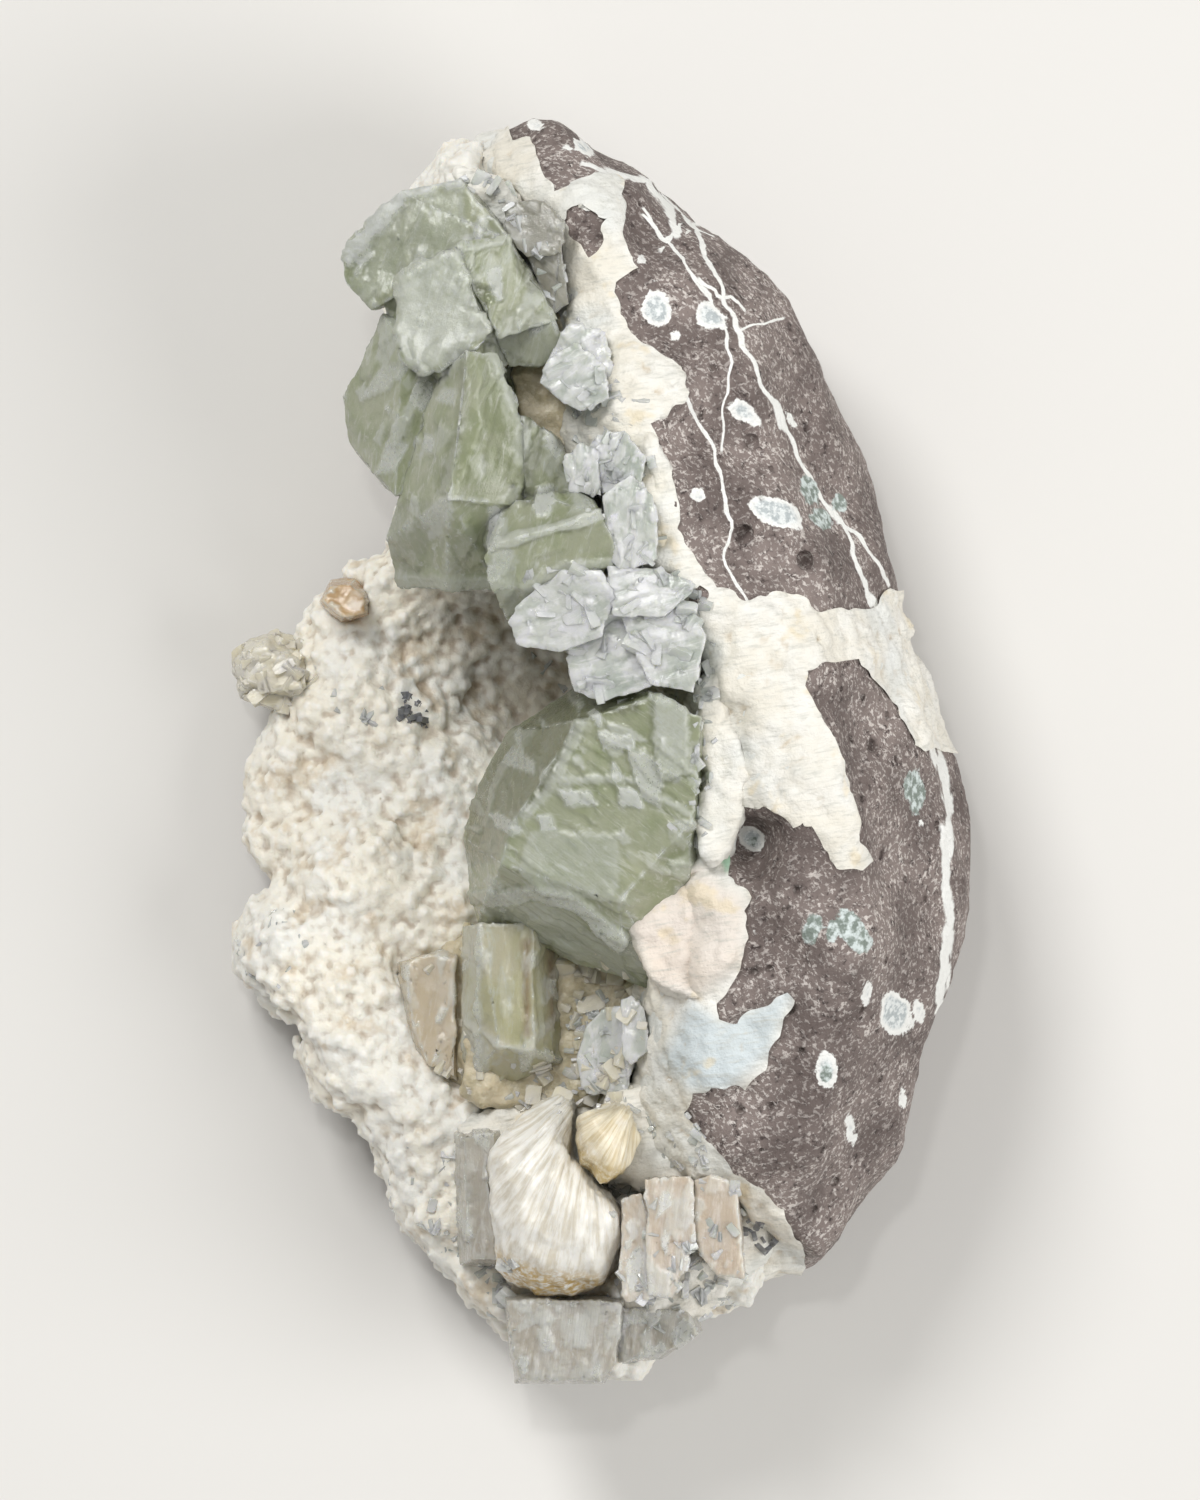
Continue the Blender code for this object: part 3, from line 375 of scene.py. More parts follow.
whiteEdge = plan([  # where the rock gives way to white, from the top tip down
    (500, 90), (504, 119), (514, 137), (529, 137), (536, 157), (546, 175), (554, 192), (604, 172),
    (623, 182), (626, 215), (628, 249), (636, 272), (616, 284), (621, 311), (631, 336), (648, 346),
    (681, 369), (688, 396), (673, 413), (651, 429), (661, 449), (671, 474), (678, 514), (676, 531),
    (686, 551), (698, 569), (718, 591), (745, 602), (771, 594), (793, 599), (830, 614), (873, 607),
    (881, 599), (888, 588), (1010, 575), (1010, 752), (924, 752), (912, 745), (905, 720), (880, 690),
    (855, 662), (838, 662), (806, 674), (806, 690), (822, 720), (836, 741), (844, 776), (851, 801),
    (860, 840), (870, 859), (860, 870), (837, 870), (828, 859), (817, 840), (812, 829), (801, 822),
    (791, 827), (778, 815), (764, 808), (741, 809), (734, 824), (732, 852), (725, 875), (741, 886),
    (749, 898), (742, 911), (746, 939), (743, 955), (732, 985), (716, 1006), (720, 1019),
    (736, 1024), (750, 1010), (769, 999), (787, 994), (790, 1003), (782, 1024), (771, 1047),
    (764, 1068), (746, 1086), (725, 1091), (709, 1084), (695, 1093), (685, 1112), (699, 1131),
    (722, 1154), (736, 1173), (759, 1190), (778, 1208), (799, 1242), (806, 1257), (800, 1450),
    (150, 1450), (150, 90)])
darkIslands = [plan([(566, 212), (576, 205), (590, 214), (606, 222), (603, 245), (594, 259),
                     (580, 250), (570, 238)]),
               plan([(686, 592), (696, 588), (705, 594), (703, 607), (690, 607)])]

veinSets = dict(  # lines of white calcite, with their width in millimetres
    mainVein=[
        (0.62, [(697, 229), (707, 258), (718, 282), (734, 328), (747, 354), (764, 389), (780, 421),
                (793, 451), (809, 475), (825, 502), (844, 527), (854, 559), (868, 591), (876, 612)]),
        (0.9, [(590, 166), (603, 172), (625, 176), (648, 180), (667, 207), (676, 232)]),
        (1.3, [(930, 740), (938, 760), (948, 783), (950, 820), (945, 879), (950, 909), (948, 944),
               (945, 978), (941, 1010)])],
    sideVein=[
        (0.36, [(648, 222), (656, 231), (675, 250), (689, 271), (702, 288), (713, 309), (726, 336),
                (731, 363), (726, 395), (721, 421), (722, 450)]),
        (0.5, [(844, 527), (857, 535), (873, 554), (886, 580)])],
    lowVein=[
        (0.42, [(684, 400), (699, 427), (715, 459), (721, 486), (726, 518), (731, 527), (723, 565),
                (739, 594), (748, 612)]),
        (0.5, [(660, 185), (676, 205), (697, 229), (706, 233)])],
    fineVein=[
        (0.4, [(676, 232), (667, 245), (656, 231), (646, 214)]),
        (0.35, [(704, 286), (716, 300), (732, 296), (741, 306)]),
        (0.3, [(745, 330), (777, 320)])])

fillings = [  # gas bubbles filled with white: place and size in pixels, and tilt
    (656, 312, 27, 34, 0), (710, 320, 37, 22, 40), (745, 416, 37, 17, 35), (790, 420, 11, 21, -35),
    (697, 496, 17, 17, 0), (775, 515, 56, 27, 20), (752, 838, 27, 25, 0), (535, 124, 19, 13, 20),
    (583, 147, 25, 13, 35), (566, 150, 12, 8, 20), (589, 202, 22, 24, 0), (686, 462, 5, 5, 0),
    (920, 822, 7, 7, 0), (752, 930, 10, 8, 0), (865, 992, 13, 23, 10), (895, 1015, 31, 48, -20),
    (919, 1010, 12, 27, 0), (850, 1129, 12, 27, 0), (904, 1099, 8, 22, 0), (826, 1070, 21, 43, -10),
    (676, 338, 10, 12, 0), (640, 262, 9, 9, 0), (652, 285, 7, 8, 0), (860, 640, 5, 8, 0)]
greyFillings = [  # and with glassy grey-green
    (809, 492, 20, 30, 0), (822, 520, 24, 20, 20), (840, 505, 16, 18, 0), (914, 793, 17, 42, 0),
    (810, 928, 19, 34, 10), (831, 932, 13, 22, 0), (851, 930, 26, 52, -35), (826, 1072, 12, 24, -10),
    (752, 842, 9, 8, 0), (684, 1033, 12, 8, 20)]
pits = [  # open gas bubbles: place and radius in pixels
    (713, 371, 5), (751, 444, 9), (806, 429, 6), (743, 537, 11), (804, 562, 11), (887, 717, 5),
    (862, 699, 4), (871, 747, 8), (938, 827, 6), (835, 1183, 6), (700, 420, 3), (770, 470, 3),
    (752, 972, 5), (768, 968, 4), (790, 1010, 4), (860, 1010, 4), (770, 1105, 4), (740, 1110, 5),
    (880, 855, 5), (905, 880, 4), (860, 800, 4), (885, 960, 4), (822, 1150, 4), (795, 890, 4),
    (690, 250, 4), (735, 270, 3), (640, 205, 3), (790, 330, 3), (815, 470, 3), (760, 500, 2),
    (850, 740, 4), (895, 760, 4), (840, 690, 3), (925, 900, 4), (930, 950, 4), (880, 1080, 4),
    (800, 1050, 4), (815, 1210, 4), (760, 1150, 3), (850, 1170, 3)]


def ellipseReach(x, y, spots):  # distance in millimetres to the nearest filling's edge
    reach = np.full(len(x), 9.0)
    scale = photo["mmPerPixel"]
    for px, py, width, height, tilt in spots:
        (cx, cy), = plan([(px, py)])
        turn = math.radians(-tilt)
        along = (x - cx) * math.cos(turn) + (y - cy) * math.sin(turn)
        across = (y - cy) * math.cos(turn) - (x - cx) * math.sin(turn)
        rx, ry = width * scale / 2, height * scale / 2
        reach = np.minimum(reach, (np.hypot(along / rx, across / ry) - 1) * min(rx, ry))
    return reach


def basaltFinish():
    # Basalt, broken and weathered: matt brown-grey ground with pale laths under a millimetre
    material, tree, coords = startMaterial("basalt")
    laths = []
    for size, scale, turn, low, high in (
            (0.5, (1, 1.8, 1), 35, 0.54, 0.64), (0.6, (1.8, 1, 1), 20, 0.55, 0.65)):
        drawn = addNode(tree, "Mapping", {"Vector": coords, "Scale": scale,
                                          "Rotation": (0, 0, math.radians(turn))}, vector_type="TEXTURE")
        laths.append(mask(tree, drawn, (size, 3, 0.65), low, high))
    flecks = addNode(tree, "Math", {0: laths[0], 1: laths[1]}, operation="MAXIMUM")
    drifts = mask(tree, coords, (9, 5, 0.7), 0.4, 0.6, 0.4)
    shown = addNode(tree, "Math", {0: flecks, 1: drifts}, operation="MULTIPLY")
    ground = paint(tree, "#645955", [
        (mask(tree, coords, (9, 4), 0.35, 0.65), "#857974"),
        (mask(tree, coords, (1.1, 4, 0.7), 0.52, 0.7), "#3a302e"),
        (shown, "#cdc5bf")])
    white = mask(tree, coords, "filling", -0.08, 0.08, 1, 0, (0.7, 0.8))
    for name in veinSets:
        across = addNode(tree, "Math", {0: pattern(tree, coords, name)}, operation="ABSOLUTE")
        line = addNode(tree, "Math", {0: mask(tree, coords, across, 0.75, 1.25, 1, 0, (1.6, 1.7)),
                                      1: mask(tree, coords, name + "Far", 0.9, 1.3, 1, 0)},
                       operation="MULTIPLY")
        white = addNode(tree, "Math", {0: line, 1: white}, operation="MAXIMUM")
    chalk = paint(tree, "#aab2b4", [(mask(tree, coords, (0.7, 3), 0.42, 0.58), "#dfe3e2")])
    chalk = paint(tree, "#ecece8", [(mask(tree, coords, "filling", -0.25, -0.7, 0, 0.9), chalk)])
    glassy = paint(tree, "#7e8880", [(mask(tree, coords, (0.9, 3), 0.4, 0.62), "#cfd8d6")])
    colour = paint(tree, ground, [
        (white, chalk),
        (mask(tree, coords, "greyFilling", -0.1, 0.1, 1, 0, (0.7, 0.8)), glassy),
        (mask(tree, coords, "cavity", -0.5, 0.5), "#dcddd8")])
    grain = addNode(tree, "Math", {0: flecks, 1: 0.3, 2: pattern(tree, coords, (0.45, 3))},
                    operation="MULTIPLY_ADD")
    finishMaterial(tree, {"Base Color": colour, "Roughness": 0.78, "Specular IOR Level": 0.4,
                          "Normal": roughen(tree, [(grain, 0.22, 0.9)])})
    return material


def rindFinish():
    # Massive stilbite and chalky calcite: white, silky where its fibres are cut across
    material, tree, coords = startMaterial("whiteZeolite")
    fibres = addNode(tree, "Mapping", {"Vector": coords, "Scale": (6, 1, 3),
                                       "Rotation": (0, 0, math.radians(8))}, vector_type="TEXTURE")
    silk = pattern(tree, fibres, (0.5, 4, 0.65))
    tone = paint(tree, "#e6e4dd", [
        (mask(tree, coords, (7, 4), 0.35, 0.65), "#dfdacd"),
        (mask(tree, coords, (16, 2), 0.5, 0.62, 0, 0.4), "#d3d9da"),
        ("tongue", "#c3cfd4"),
        ("cone", "#dccabb"),
        (mask(tree, coords, silk, 0.48, 0.72, 0, 0.6), "#b9b9b0"),
        (mask(tree, coords, (5.5, 3), 0.58, 0.7, 0, 0.5), "#dccba6"),
        # painted shade: darker tan in the hollows of the white
        (mask(tree, coords, "hollow", 0.03, 0.5, 0, 0.7), "#b39f80"),
        (mask(tree, coords, "rust", -0.2, 0.2, 1, 0, (0.8, 0.6)), "#b9822f"),
        (mask(tree, coords, "mint", -0.4, 0.8, 0.8, 0, (1.2, 1.2)), "#8cba9c")])
    normal = roughen(tree, [(silk, 0.16, 0.7), (pattern(tree, coords, (1.1, 4)), 0.4, 0.8)])
    finishMaterial(tree, {"Base Color": tone, "Roughness": 0.5, "Normal": normal})
    return material


# The white lining: lumps and bulbs on it in mm, its ragged edges as step, reach and size, and two patches
rindLook = dict(lumps=((3.4, -1.7), (1.5, -0.9)), lumpMiddle=0.42,
                count=1900, spacing=0.95, bulb=(0.4, 1.0), drift=(1, 0), sunk=0.25, fused=0.64, seed=8,
                grain=(1.4, 0.35), swell=0.36, coneSwell=1.1, bandSwell=0.5,
                low=11, high=90, edge=(0.4, 0.7, 1.6), islandEdge=(0.3, 0.9, 1.2),
                tongue=[(690, 1000), (720, 1019), (790, 990), (770, 1050), (725, 1091), (690, 1090),
                        (660, 1060)],
                cone=[(618, 858), (650, 850), (700, 868), (745, 900), (742, 960), (700, 995), (655, 985),
                      (630, 930)])


def drusyRim(centre, normal):  # where the white is lumpy: beside the cavity and at the top
    gap = -insideOutline(centre, whiteEdge)
    deep = np.where(centre[:, 1] > 12, 0.8, 9.0)
    side = (normal[:, 2] < 0.4) & (centre[:, 2] < 30)
    return (gap > deep) & (side | (gap < 22)) & (normal[:, 2] > -0.2) & (centre[:, 2] > 11.5)


def openPits(rock):  # gas bubbles cut into the broken face
    surface = BVHTree.FromPolygons([p.co for p in rock.data.vertices],
                                   [p.vertices for p in rock.data.polygons])
    bm = bmesh.new()
    for px, py, radius in pits:
        (x, y), = plan([(px, py)])
        hit, normal = lowerTo(surface, x, y)
        if hit:
            size = radius * photo["mmPerPixel"] * mm
            spot = Matrix.Translation(hit - normal * size * basalt["pitSunk"])
            bmesh.ops.create_icosphere(bm, subdivisions=2, radius=size, matrix=spot)
    boolean(rock, linkForm("pits", bm), "DIFFERENCE")


def markRock(rock):  # where veins, fillings and the cavity's white lie on it
    points = getPoints(rock) / mm
    x, y = points[:, 0] + noiseAt(points, 2.6) * 0.7, points[:, 1] + noiseAt(points + 31, 2.6) * 0.7
    upper = points[:, 2] > basalt["face"]
    for name, lines in veinSets.items():
        far = np.full(len(x), 1e9)
        side = np.full(len(x), 1e9)
        for width, line in lines:
            gap, across = segmentDistances(x, y, plan(line))
            nearer = gap < far
            side = np.where(nearer, across / (width / 2), side)
            far = np.where(nearer, gap, far)
        mark(rock, name, side)
        mark(rock, name + "Far", np.where(upper, far, 9))
    for name, spots in (("filling", fillings), ("greyFilling", greyFillings)):
        mark(rock, name, np.where(upper, ellipseReach(x, y, spots), 9))
    cavityGap = insideOutline(points, whiteEdge)
    for island in darkIslands:
        cavityGap = np.where(insideOutline(points, island) < 0.6, 9, cavityGap)
    brim = 10 + noiseAt(points, 6) * 4
    mark(rock, "cavity", np.where(points[:, 2] > brim, -cavityGap - 1, -5))


def markRind(rind):  # how deep its hollows lie, for painted shade, and where it is bluish, cream, rusty and mint green
    points = getPoints(rind) / mm
    mark(rind, "hollow", hollows(rind, 14) + hollows(rind, 50) * 0.3)
    for patch, strength in (("tongue", 0.8), ("cone", 0.5)):
        mark(rind, patch, strength * smoothStep(0.5 - insideOutline(points, plan(rindLook[patch])) / 3))
    (rustX, rustY), (mintX, mintY) = plan([(662, 533), (726, 850)])
    mark(rind, "rust", np.hypot(points[:, 0] - rustX, points[:, 1] - rustY))
    mark(rind, "mint", np.hypot((points[:, 0] - mintX) * 2.4, (points[:, 1] - mintY) * 0.75) - 1.8)


def buildRockAndRind():
    rock = closedCopy("basaltMatrix", ["basalt_matrix", "zeolite_rind"], basalt["undercut"],
                      basalt["closing"], basalt["voxel"])
    modify(rock, "SMOOTH", factor=0.5, iterations=basalt["smoothing"])
    for size, height in basalt["relief"]:
        relief(rock, "CLOUDS", size, height, noise_depth=2)
    points = getPoints(rock)
    points[:, 2] = np.maximum(points[:, 2], basalt["lowest"] * mm)
    setPoints(rock, points)

    rind = linkMesh("zeoliteRind", rock.data.copy())
    normals = getNormals(rind)
    intoCavity = smoothStep((0.35 - normals[:, 0] * 0.2 - normals[:, 2] * 0.55) * 3)
    onFace = smoothStep((-insideOutline(points / mm, whiteEdge) - 1.5) / 4)
    setWeights(rind, "lumpy", np.clip(intoCavity + 0.25, 0, 1) * onFace)
    for size, height in rindLook["lumps"]:
        relief(rind, "VORONOI", size, height, rindLook["lumpMiddle"], "lumpy")
    rind = addBulbs(rind, rindLook, drusyRim)
    relief(rind, "CLOUDS", *rindLook["grain"], 0.3, noise_depth=2)
    points = getPoints(rind) / mm
    cone = smoothStep(-insideOutline(points, plan(rindLook["cone"])) / 3 + 0.3)
    band = smoothStep(0.5 - insideOutline(points, plan(rindLook["tongue"])) / 3)
    swell = rindLook["swell"] + cone * rindLook["coneSwell"] + band * rindLook["bandSwell"]
    points += getNormals(rind) * swell[:, None]
    knots = noiseAt(points, 1.7) * 0.25 + np.abs(noiseAt(points + 9, 3.2)) * 0.8
    lift = fibrous(points, 0.55) * 0.2 + knots - 0.25
    setPoints(rind, (points + getNormals(rind) * lift[:, None]) * mm)
    low, high = rindLook["low"], rindLook["high"]
    boolean(rind, outlineSolid("stencil", ragged(whiteEdge, *rindLook["edge"]), low, high), "INTERSECT")
    for island in darkIslands:
        edge = ragged(island, *rindLook["islandEdge"])
        boolean(rind, outlineSolid("island", edge, basalt["face"], high), "DIFFERENCE")
    openPits(rock)
    markRind(rind)
    markRock(rock)
    smoothShade(rock)
    smoothShade(rind, 60)
    place(rock, basaltFinish(), "basalt_matrix", ["basalt_matrix"])
    place(rind, rindFinish(), "zeolite_rind", ["zeolite_rind"])
    print("rock and rind:", len(rock.data.polygons), len(rind.data.polygons))


# White druse: rounded crystals of about a millimetre and a half on a lumpy crust
druse = dict(swell=0.3, under=1.6, voxel=0.7, smoothing=5, lumps=((4.2, -1.5), (1.8, -0.9)), lumpMiddle=0.6,
             count=3600, spacing=1.15, bulb=(0.5, 1.15), drift=(0.95, 0.45), sunk=0.22, fused=0.41, seed=4,
             grain=(0.8, 0.16), faces=62000,
             # the pocket under the crystals, where a shadow is painted
             pocket=[(425, 640), (440, 600), (500, 590), (560, 610), (590, 690), (540, 712), (470, 700)])


def druseFinish():
    # Heulandite and stilbite druse: cream white, waxy, faintly see-through at the edges
    material, tree, coords = startMaterial("whiteDruse")
    tone = paint(tree, "#ebe6d8", [
        (mask(tree, coords, (10, 3), 0.38, 0.62), "#e6e5de"),
        (mask(tree, coords, (4.5, 3), 0.52, 0.7, 0, 0.6), "#c9b698"),
        (mask(tree, coords, (1.3, 2), 0.5, 0.7, 0, 0.4), "#e9e7df"),
        # painted shade in the hollows between the bulbs, and a painted highlight on their crests
        (mask(tree, coords, "hollow", 0.0, 0.45, 0, 0.75), "#a08c74"),
        (mask(tree, coords, "hollow", -0.12, -0.4, 0, 0.6), "#eeece6"),
        # painted shadow in the pocket under the crystals
        ("stain", "#806b52")])
    normal = roughen(tree, [(pattern(tree, coords, (0.6, 4, 0.7)), 0.25, 0.8)])
    finishMaterial(tree, {"Base Color": tone, "Roughness": 0.38, "Normal": normal,
                          "Subsurface Weight": 0.35, "Subsurface Radius": (1.0, 0.85, 0.65),
                          "Subsurface Scale": 0.6 * mm})
    return material


def surfaceSpots(piece, count, spacing, rng, keep):  # scattered places, none too close
    mesh = piece.data
    mesh.calc_loop_triangles()
    corners = np.array([tri.vertices[:] for tri in mesh.loop_triangles])
    points = getPoints(piece)
    a, b, c = (points[corners[:, index]] for index in range(3))
    cross = np.cross(b - a, c - a)
    area = np.linalg.norm(cross, axis=1)
    facing = cross / np.maximum(area, 1e-12)[:, None]
    area = np.where(keep((a + b + c) / 3 / mm, facing), area, 0)
    picks = rng.choice(len(area), count * 3, p=area / area.sum())
    u, v = rng.random(len(picks)), rng.random(len(picks))
    flip = u + v > 1
    u, v = np.where(flip, 1 - u, u), np.where(flip, 1 - v, v)
    spots = a[picks] + (b - a)[picks] * u[:, None] + (c - a)[picks] * v[:, None]
    cells, chosen = {}, []
    for index, spot in enumerate(spots):
        cell = tuple((spot / (spacing * mm)).astype(int))
        near = [cells.get((cell[0] + i, cell[1] + j, cell[2] + k), ())
                for i in (-1, 0, 1) for j in (-1, 0, 1) for k in (-1, 0, 1)]
        if all(np.linalg.norm(spot - other) > spacing * mm for group in near for other in group):
            cells.setdefault(cell, []).append(spot)
            chosen.append(index)
            if len(chosen) == count:
                break
    return spots[chosen], facing[picks][chosen]


def roundedCrystal(cut=0.82):  # a ball with a few flattened sides
    bm = bmesh.new()
    bmesh.ops.create_icosphere(bm, subdivisions=2, radius=1)
    for vert in bm.verts:
        for axis in range(3):
            vert.co[axis] = max(-cut, min(cut, vert.co[axis]))
    crystal = linkForm("bulb", bm)
    crystal.data.shade_smooth()
    return crystal


def addBulbs(piece, look, keep):  # rounded crystals all over a crust, fused to it
    rng = np.random.default_rng(look["seed"])
    spots, facing = surfaceSpots(piece, look["count"], look["spacing"], rng, keep)
    low, high = look["bulb"]
    middle, sway = look["drift"]
    drift = middle + sway * noiseAt(spots / mm, 9)
    sizes = (drift * (low + (high - low) * rng.random(len(spots)) ** 1.6))[:, None] * mm
    spots = spots - facing * sizes * look["sunk"]
    sizes = sizes * (0.8 + 0.4 * rng.random((len(spots), 3)))
    turns = rng.random((len(spots), 3)) * math.tau
    name = piece.name
    print(name, "bulbs:", len(spots))
    return remesh(join(name, [piece, grow("bulbs", roundedCrystal(), spots, turns, sizes)]), look["fused"])


def buildCrust():
    crust = copyNodes("drusyCrust", ["drusy_crust"], druse["swell"])
    under = copyNodes("under", ["drusy_crust"], druse["swell"])
    setPoints(under, getPoints(under) - np.array((0, 0, druse["under"] * mm), "f"))
    crust = join("drusyCrust", [crust, under])
    remesh(crust, druse["voxel"])
    modify(crust, "SMOOTH", factor=0.5, iterations=druse["smoothing"])
    for size, height in druse["lumps"]:
        relief(crust, "VORONOI", size, height, druse["lumpMiddle"])
    crust = addBulbs(crust, druse, lambda centre, normal: (normal[:, 2] > -0.25) & (centre[:, 2] > 5))
    relief(crust, "CLOUDS", *druse["grain"], noise_depth=1)
    normals, points = getNormals(crust), getPoints(crust)
    setWeights(crust, "hidden", (normals[:, 2] < -0.2) & (points[:, 2] > 7 * mm))
    share = druse["faces"] * 2 / sum(len(face.vertices) - 2 for face in crust.data.polygons)
    modify(crust, "DECIMATE", ratio=min(1, share), vertex_group="hidden", vertex_group_factor=40)
    # depth below the surroundings, for painted shade in hollows and a painted highlight on crests, and a
    # painted shadow in the pocket under the crystals
    below = hollows(crust, 5) * 1.2 + hollows(crust, 14) + hollows(crust, 60) * 0.35
    mark(crust, "hollow", below)
    gap = insideOutline(getPoints(crust) / mm, plan(druse["pocket"]))
    mark(crust, "stain", 0.3 * smoothStep(0.5 - gap / 5) * smoothStep(below * 1.2 + 0.6))
    smoothShade(crust)
    place(crust, druseFinish(), "drusy_crust", ["drusy_crust"])
    print("crust:", len(crust.data.polygons))


# Crystals: the solids with chipped edges, growth steps and scraps of cleavage
chips = dict(swell=0.3, flat=1.2, corner=16, bevelFrom=18, bevel=0.1, closing=1.5, sunk=0.3, voxel=0.7,
             flake=0.28, wornWidth=0.32, wornDepth=0.12, ripples=((4, 0.22), (0.8, 0.05)),
             shading=24, seed=11)

# Scraps of cleavage: turn to the grain, sizes, length, corners, rise and whiteness
scraps = dict(turn=16, sizes=(0.35, 1.5), length=1.9, corners=(4, 7), uneven=0.3, sides=(0.3, 0.75),
              edge=0.16, rise=(0.4, 1.4), white=(0.05, 0.9))


def crystalEdges(piece):  # the two ends of each edge between flat faces
    bm = bmesh.new()
    bm.from_mesh(piece.data)
    bmesh.ops.dissolve_limit(bm, angle_limit=math.radians(chips["flat"]), verts=bm.verts, edges=bm.edges)
    ends = [(edge.verts[0].co[:], edge.verts[1].co[:]) for edge in bm.edges
            if edge.is_manifold and edge.calc_face_angle() > math.radians(chips["corner"])]
    bm.free()
    return np.array(ends) / mm


def edgeGaps(points, ends):  # distance of each point to the nearest of those edges
    gap = np.full(len(points), 9.0)
    for start, end in ends:
        line = end - start
        along = np.clip((points - start) @ line / (line @ line), 0, 1)
        gap = np.minimum(gap, np.linalg.norm(points - start - along[:, None] * line, axis=1))
    return gap


def fineFaces(piece, edge):  # flat faces cut finely where they are seen, edges just broken
    bm = bmesh.new()
    bm.from_mesh(piece.data)
    bmesh.ops.dissolve_limit(bm, angle_limit=math.radians(chips["flat"]), verts=bm.verts, edges=bm.edges)
    bm.to_mesh(piece.data)
    bm.free()
    modify(piece, "BEVEL", width=chips["bevel"] * mm, segments=1, limit_method="ANGLE",
           angle_limit=math.radians(chips["bevelFrom"]), profile=0.5)
    bm = bmesh.new()
    bm.from_mesh(piece.data)
    for _ in range(9):
        bm.normal_update()
        long = [item for item in bm.edges if item.calc_length() > edge * mm
                * (1 if max(face.normal.z for face in item.link_faces) > 0.05 else 3)]
        if not long:
            break
        bmesh.ops.subdivide_edges(bm, edges=long, cuts=1)
        bmesh.ops.triangulate(bm, faces=bm.faces, quad_method="BEAUTY", ngon_method="BEAUTY")
    bm.to_mesh(piece.data)
    bm.free()


def growthSteps(points, pitch, height, turn, drop=0.35):  # ledges a pitch apart across a direction
    turn = math.radians(turn)
    across = points[:, 1] * math.cos(turn) - points[:, 0] * math.sin(turn) + points[:, 2] * drop
    across = across / pitch + noiseAt(points, 5) * 0.5 + noiseAt(points, 1.3) * 0.12
    share = across - np.floor(across)
    patches = smoothStep(noiseAt(points + 7, 6) * 2 + 0.55)
    return height * (smoothStep(share / 0.15) - share) * patches


def flakes(points, normals, rng, count, size, grain, height):  # angular scraps long along the grain
    lift, frost = np.zeros(len(points)), np.zeros(len(points))
    upward = np.nonzero(normals[:, 2] > 0.2)[0]
    for centre in rng.choice(upward, count):
        turn = math.radians(grain + rng.normal(0, scraps["turn"]))
        reach = size * rng.uniform(*scraps["sizes"]) ** 1.5
        gap = points - points[centre]
        near = np.nonzero((np.abs(gap[:, 0]) < reach * 2.2) & (np.abs(gap[:, 1]) < reach * 2.2))[0]
        along = gap[near, 0] * math.cos(turn) + gap[near, 1] * math.sin(turn)
        across = gap[near, 1] * math.cos(turn) - gap[near, 0] * math.sin(turn)
        corners = rng.integers(*scraps["corners"])
        first = rng.random() * math.tau
        inside = np.full(len(near), -9.0)
        for corner in range(corners):
            angle = first + math.tau * (corner + rng.uniform(-scraps["uneven"], scraps["uneven"])) / corners
            side = along / scraps["length"] * math.cos(angle) + across * math.sin(angle)
            inside = np.maximum(inside, side - reach * rng.uniform(*scraps["sides"]))
        shape = smoothStep(-inside / scraps["edge"] + 0.3)
        wedge = 0.35 + 0.65 * np.clip(along / reach * rng.choice((-1, 1)) * 0.5 + 0.5, 0, 1)
        lift[near] = np.maximum(lift[near], shape * wedge * height * rng.uniform(*scraps["rise"]))
        frost[near] = np.maximum(frost[near], shape * rng.uniform(*scraps["white"]) ** 1.7)
    return lift, frost


def addForms(points, normals, forms):  # named patches of a crystal: raised, frosted, painted lighter or painted in shade
    lift, frost, shade = (np.zeros(len(points)) for _ in range(3))
    warp = noiseAt(points, 1.1) * 0.22 + noiseAt(points, 3) * 0.3
    facing = smoothStep(normals[:, 2] * 3)
    for outline, height, frostAndLight, darkness in forms:
        outline = plan(outline)
        low, high = np.min(outline, 0) - 2, np.max(outline, 0) + 2
        near = np.nonzero(((points[:, :2] > low) & (points[:, :2] < high)).all(1))[0]
        gap = insideOutline(points[near], outline) + warp[near]
        shape = smoothStep(-gap / 0.35 + 0.5) * facing[near]
        lift[near] += shape * height
        frost[near] = np.maximum(frost[near], shape * frostAndLight)
        shade[near] = np.maximum(shade[near], smoothStep(-gap / 1.2 + 0.5) * darkness)
    return lift, frost, shade


def crystalFinish(name, spec):
    # Apophyllite and the crystals beside it: glassy growth faces, milky inside, pearly on their cleavage
    material, tree, coords = startMaterial(name)
    frost = addNode(tree, "Math", {0: pattern(tree, coords, "frost"),
                                   1: mask(tree, coords, (0.7, 4, 0.7), 0.3, 0.6, 0.75, 1.05)},
                    operation="MULTIPLY")
    veils, lines = (addNode(tree, "Mapping", {"Vector": coords, "Scale": scale,
                                              "Rotation": (0, 0, math.radians(spec["grain"]))},
                            vector_type="TEXTURE") for scale in ((3.5, 1, 1.6), (12, 1, 5)))
    tone = paint(tree, spec["deep"], [
        (mask(tree, coords, (spec["cloud"], 4, 0.6, 0.6), 0.35, 0.65), spec["milky"]),
        (mask(tree, veils, (1.5, 5, 0.7, 1.2), 0.5, 0.68, 0, 0.75), spec["wisp"]),
        ("shade", spec["shaded"]),
        (frost, spec["frosted"])])
    normal = roughen(tree, [(pattern(tree, lines, (0.3, 3)), 0.12, spec["lines"]),
                            (pattern(tree, coords, (0.5, 4, 0.7)), 0.1, 0.6)])
    roughness = addNode(tree, "Math", {0: frost, 1: 0.3, 2: spec["rough"]}, operation="MULTIPLY_ADD")
    finishMaterial(tree, {"Base Color": tone, "Roughness": roughness, "IOR": 1.535, "Normal": normal,
                          "Transmission Weight": spec["clear"], "Subsurface Weight": 0.6,
                          "Subsurface Radius": (1.0, 1.0, 0.8), "Subsurface Scale": 1.2 * mm},
                   (spec["absorb"], spec["density"]))
    return material


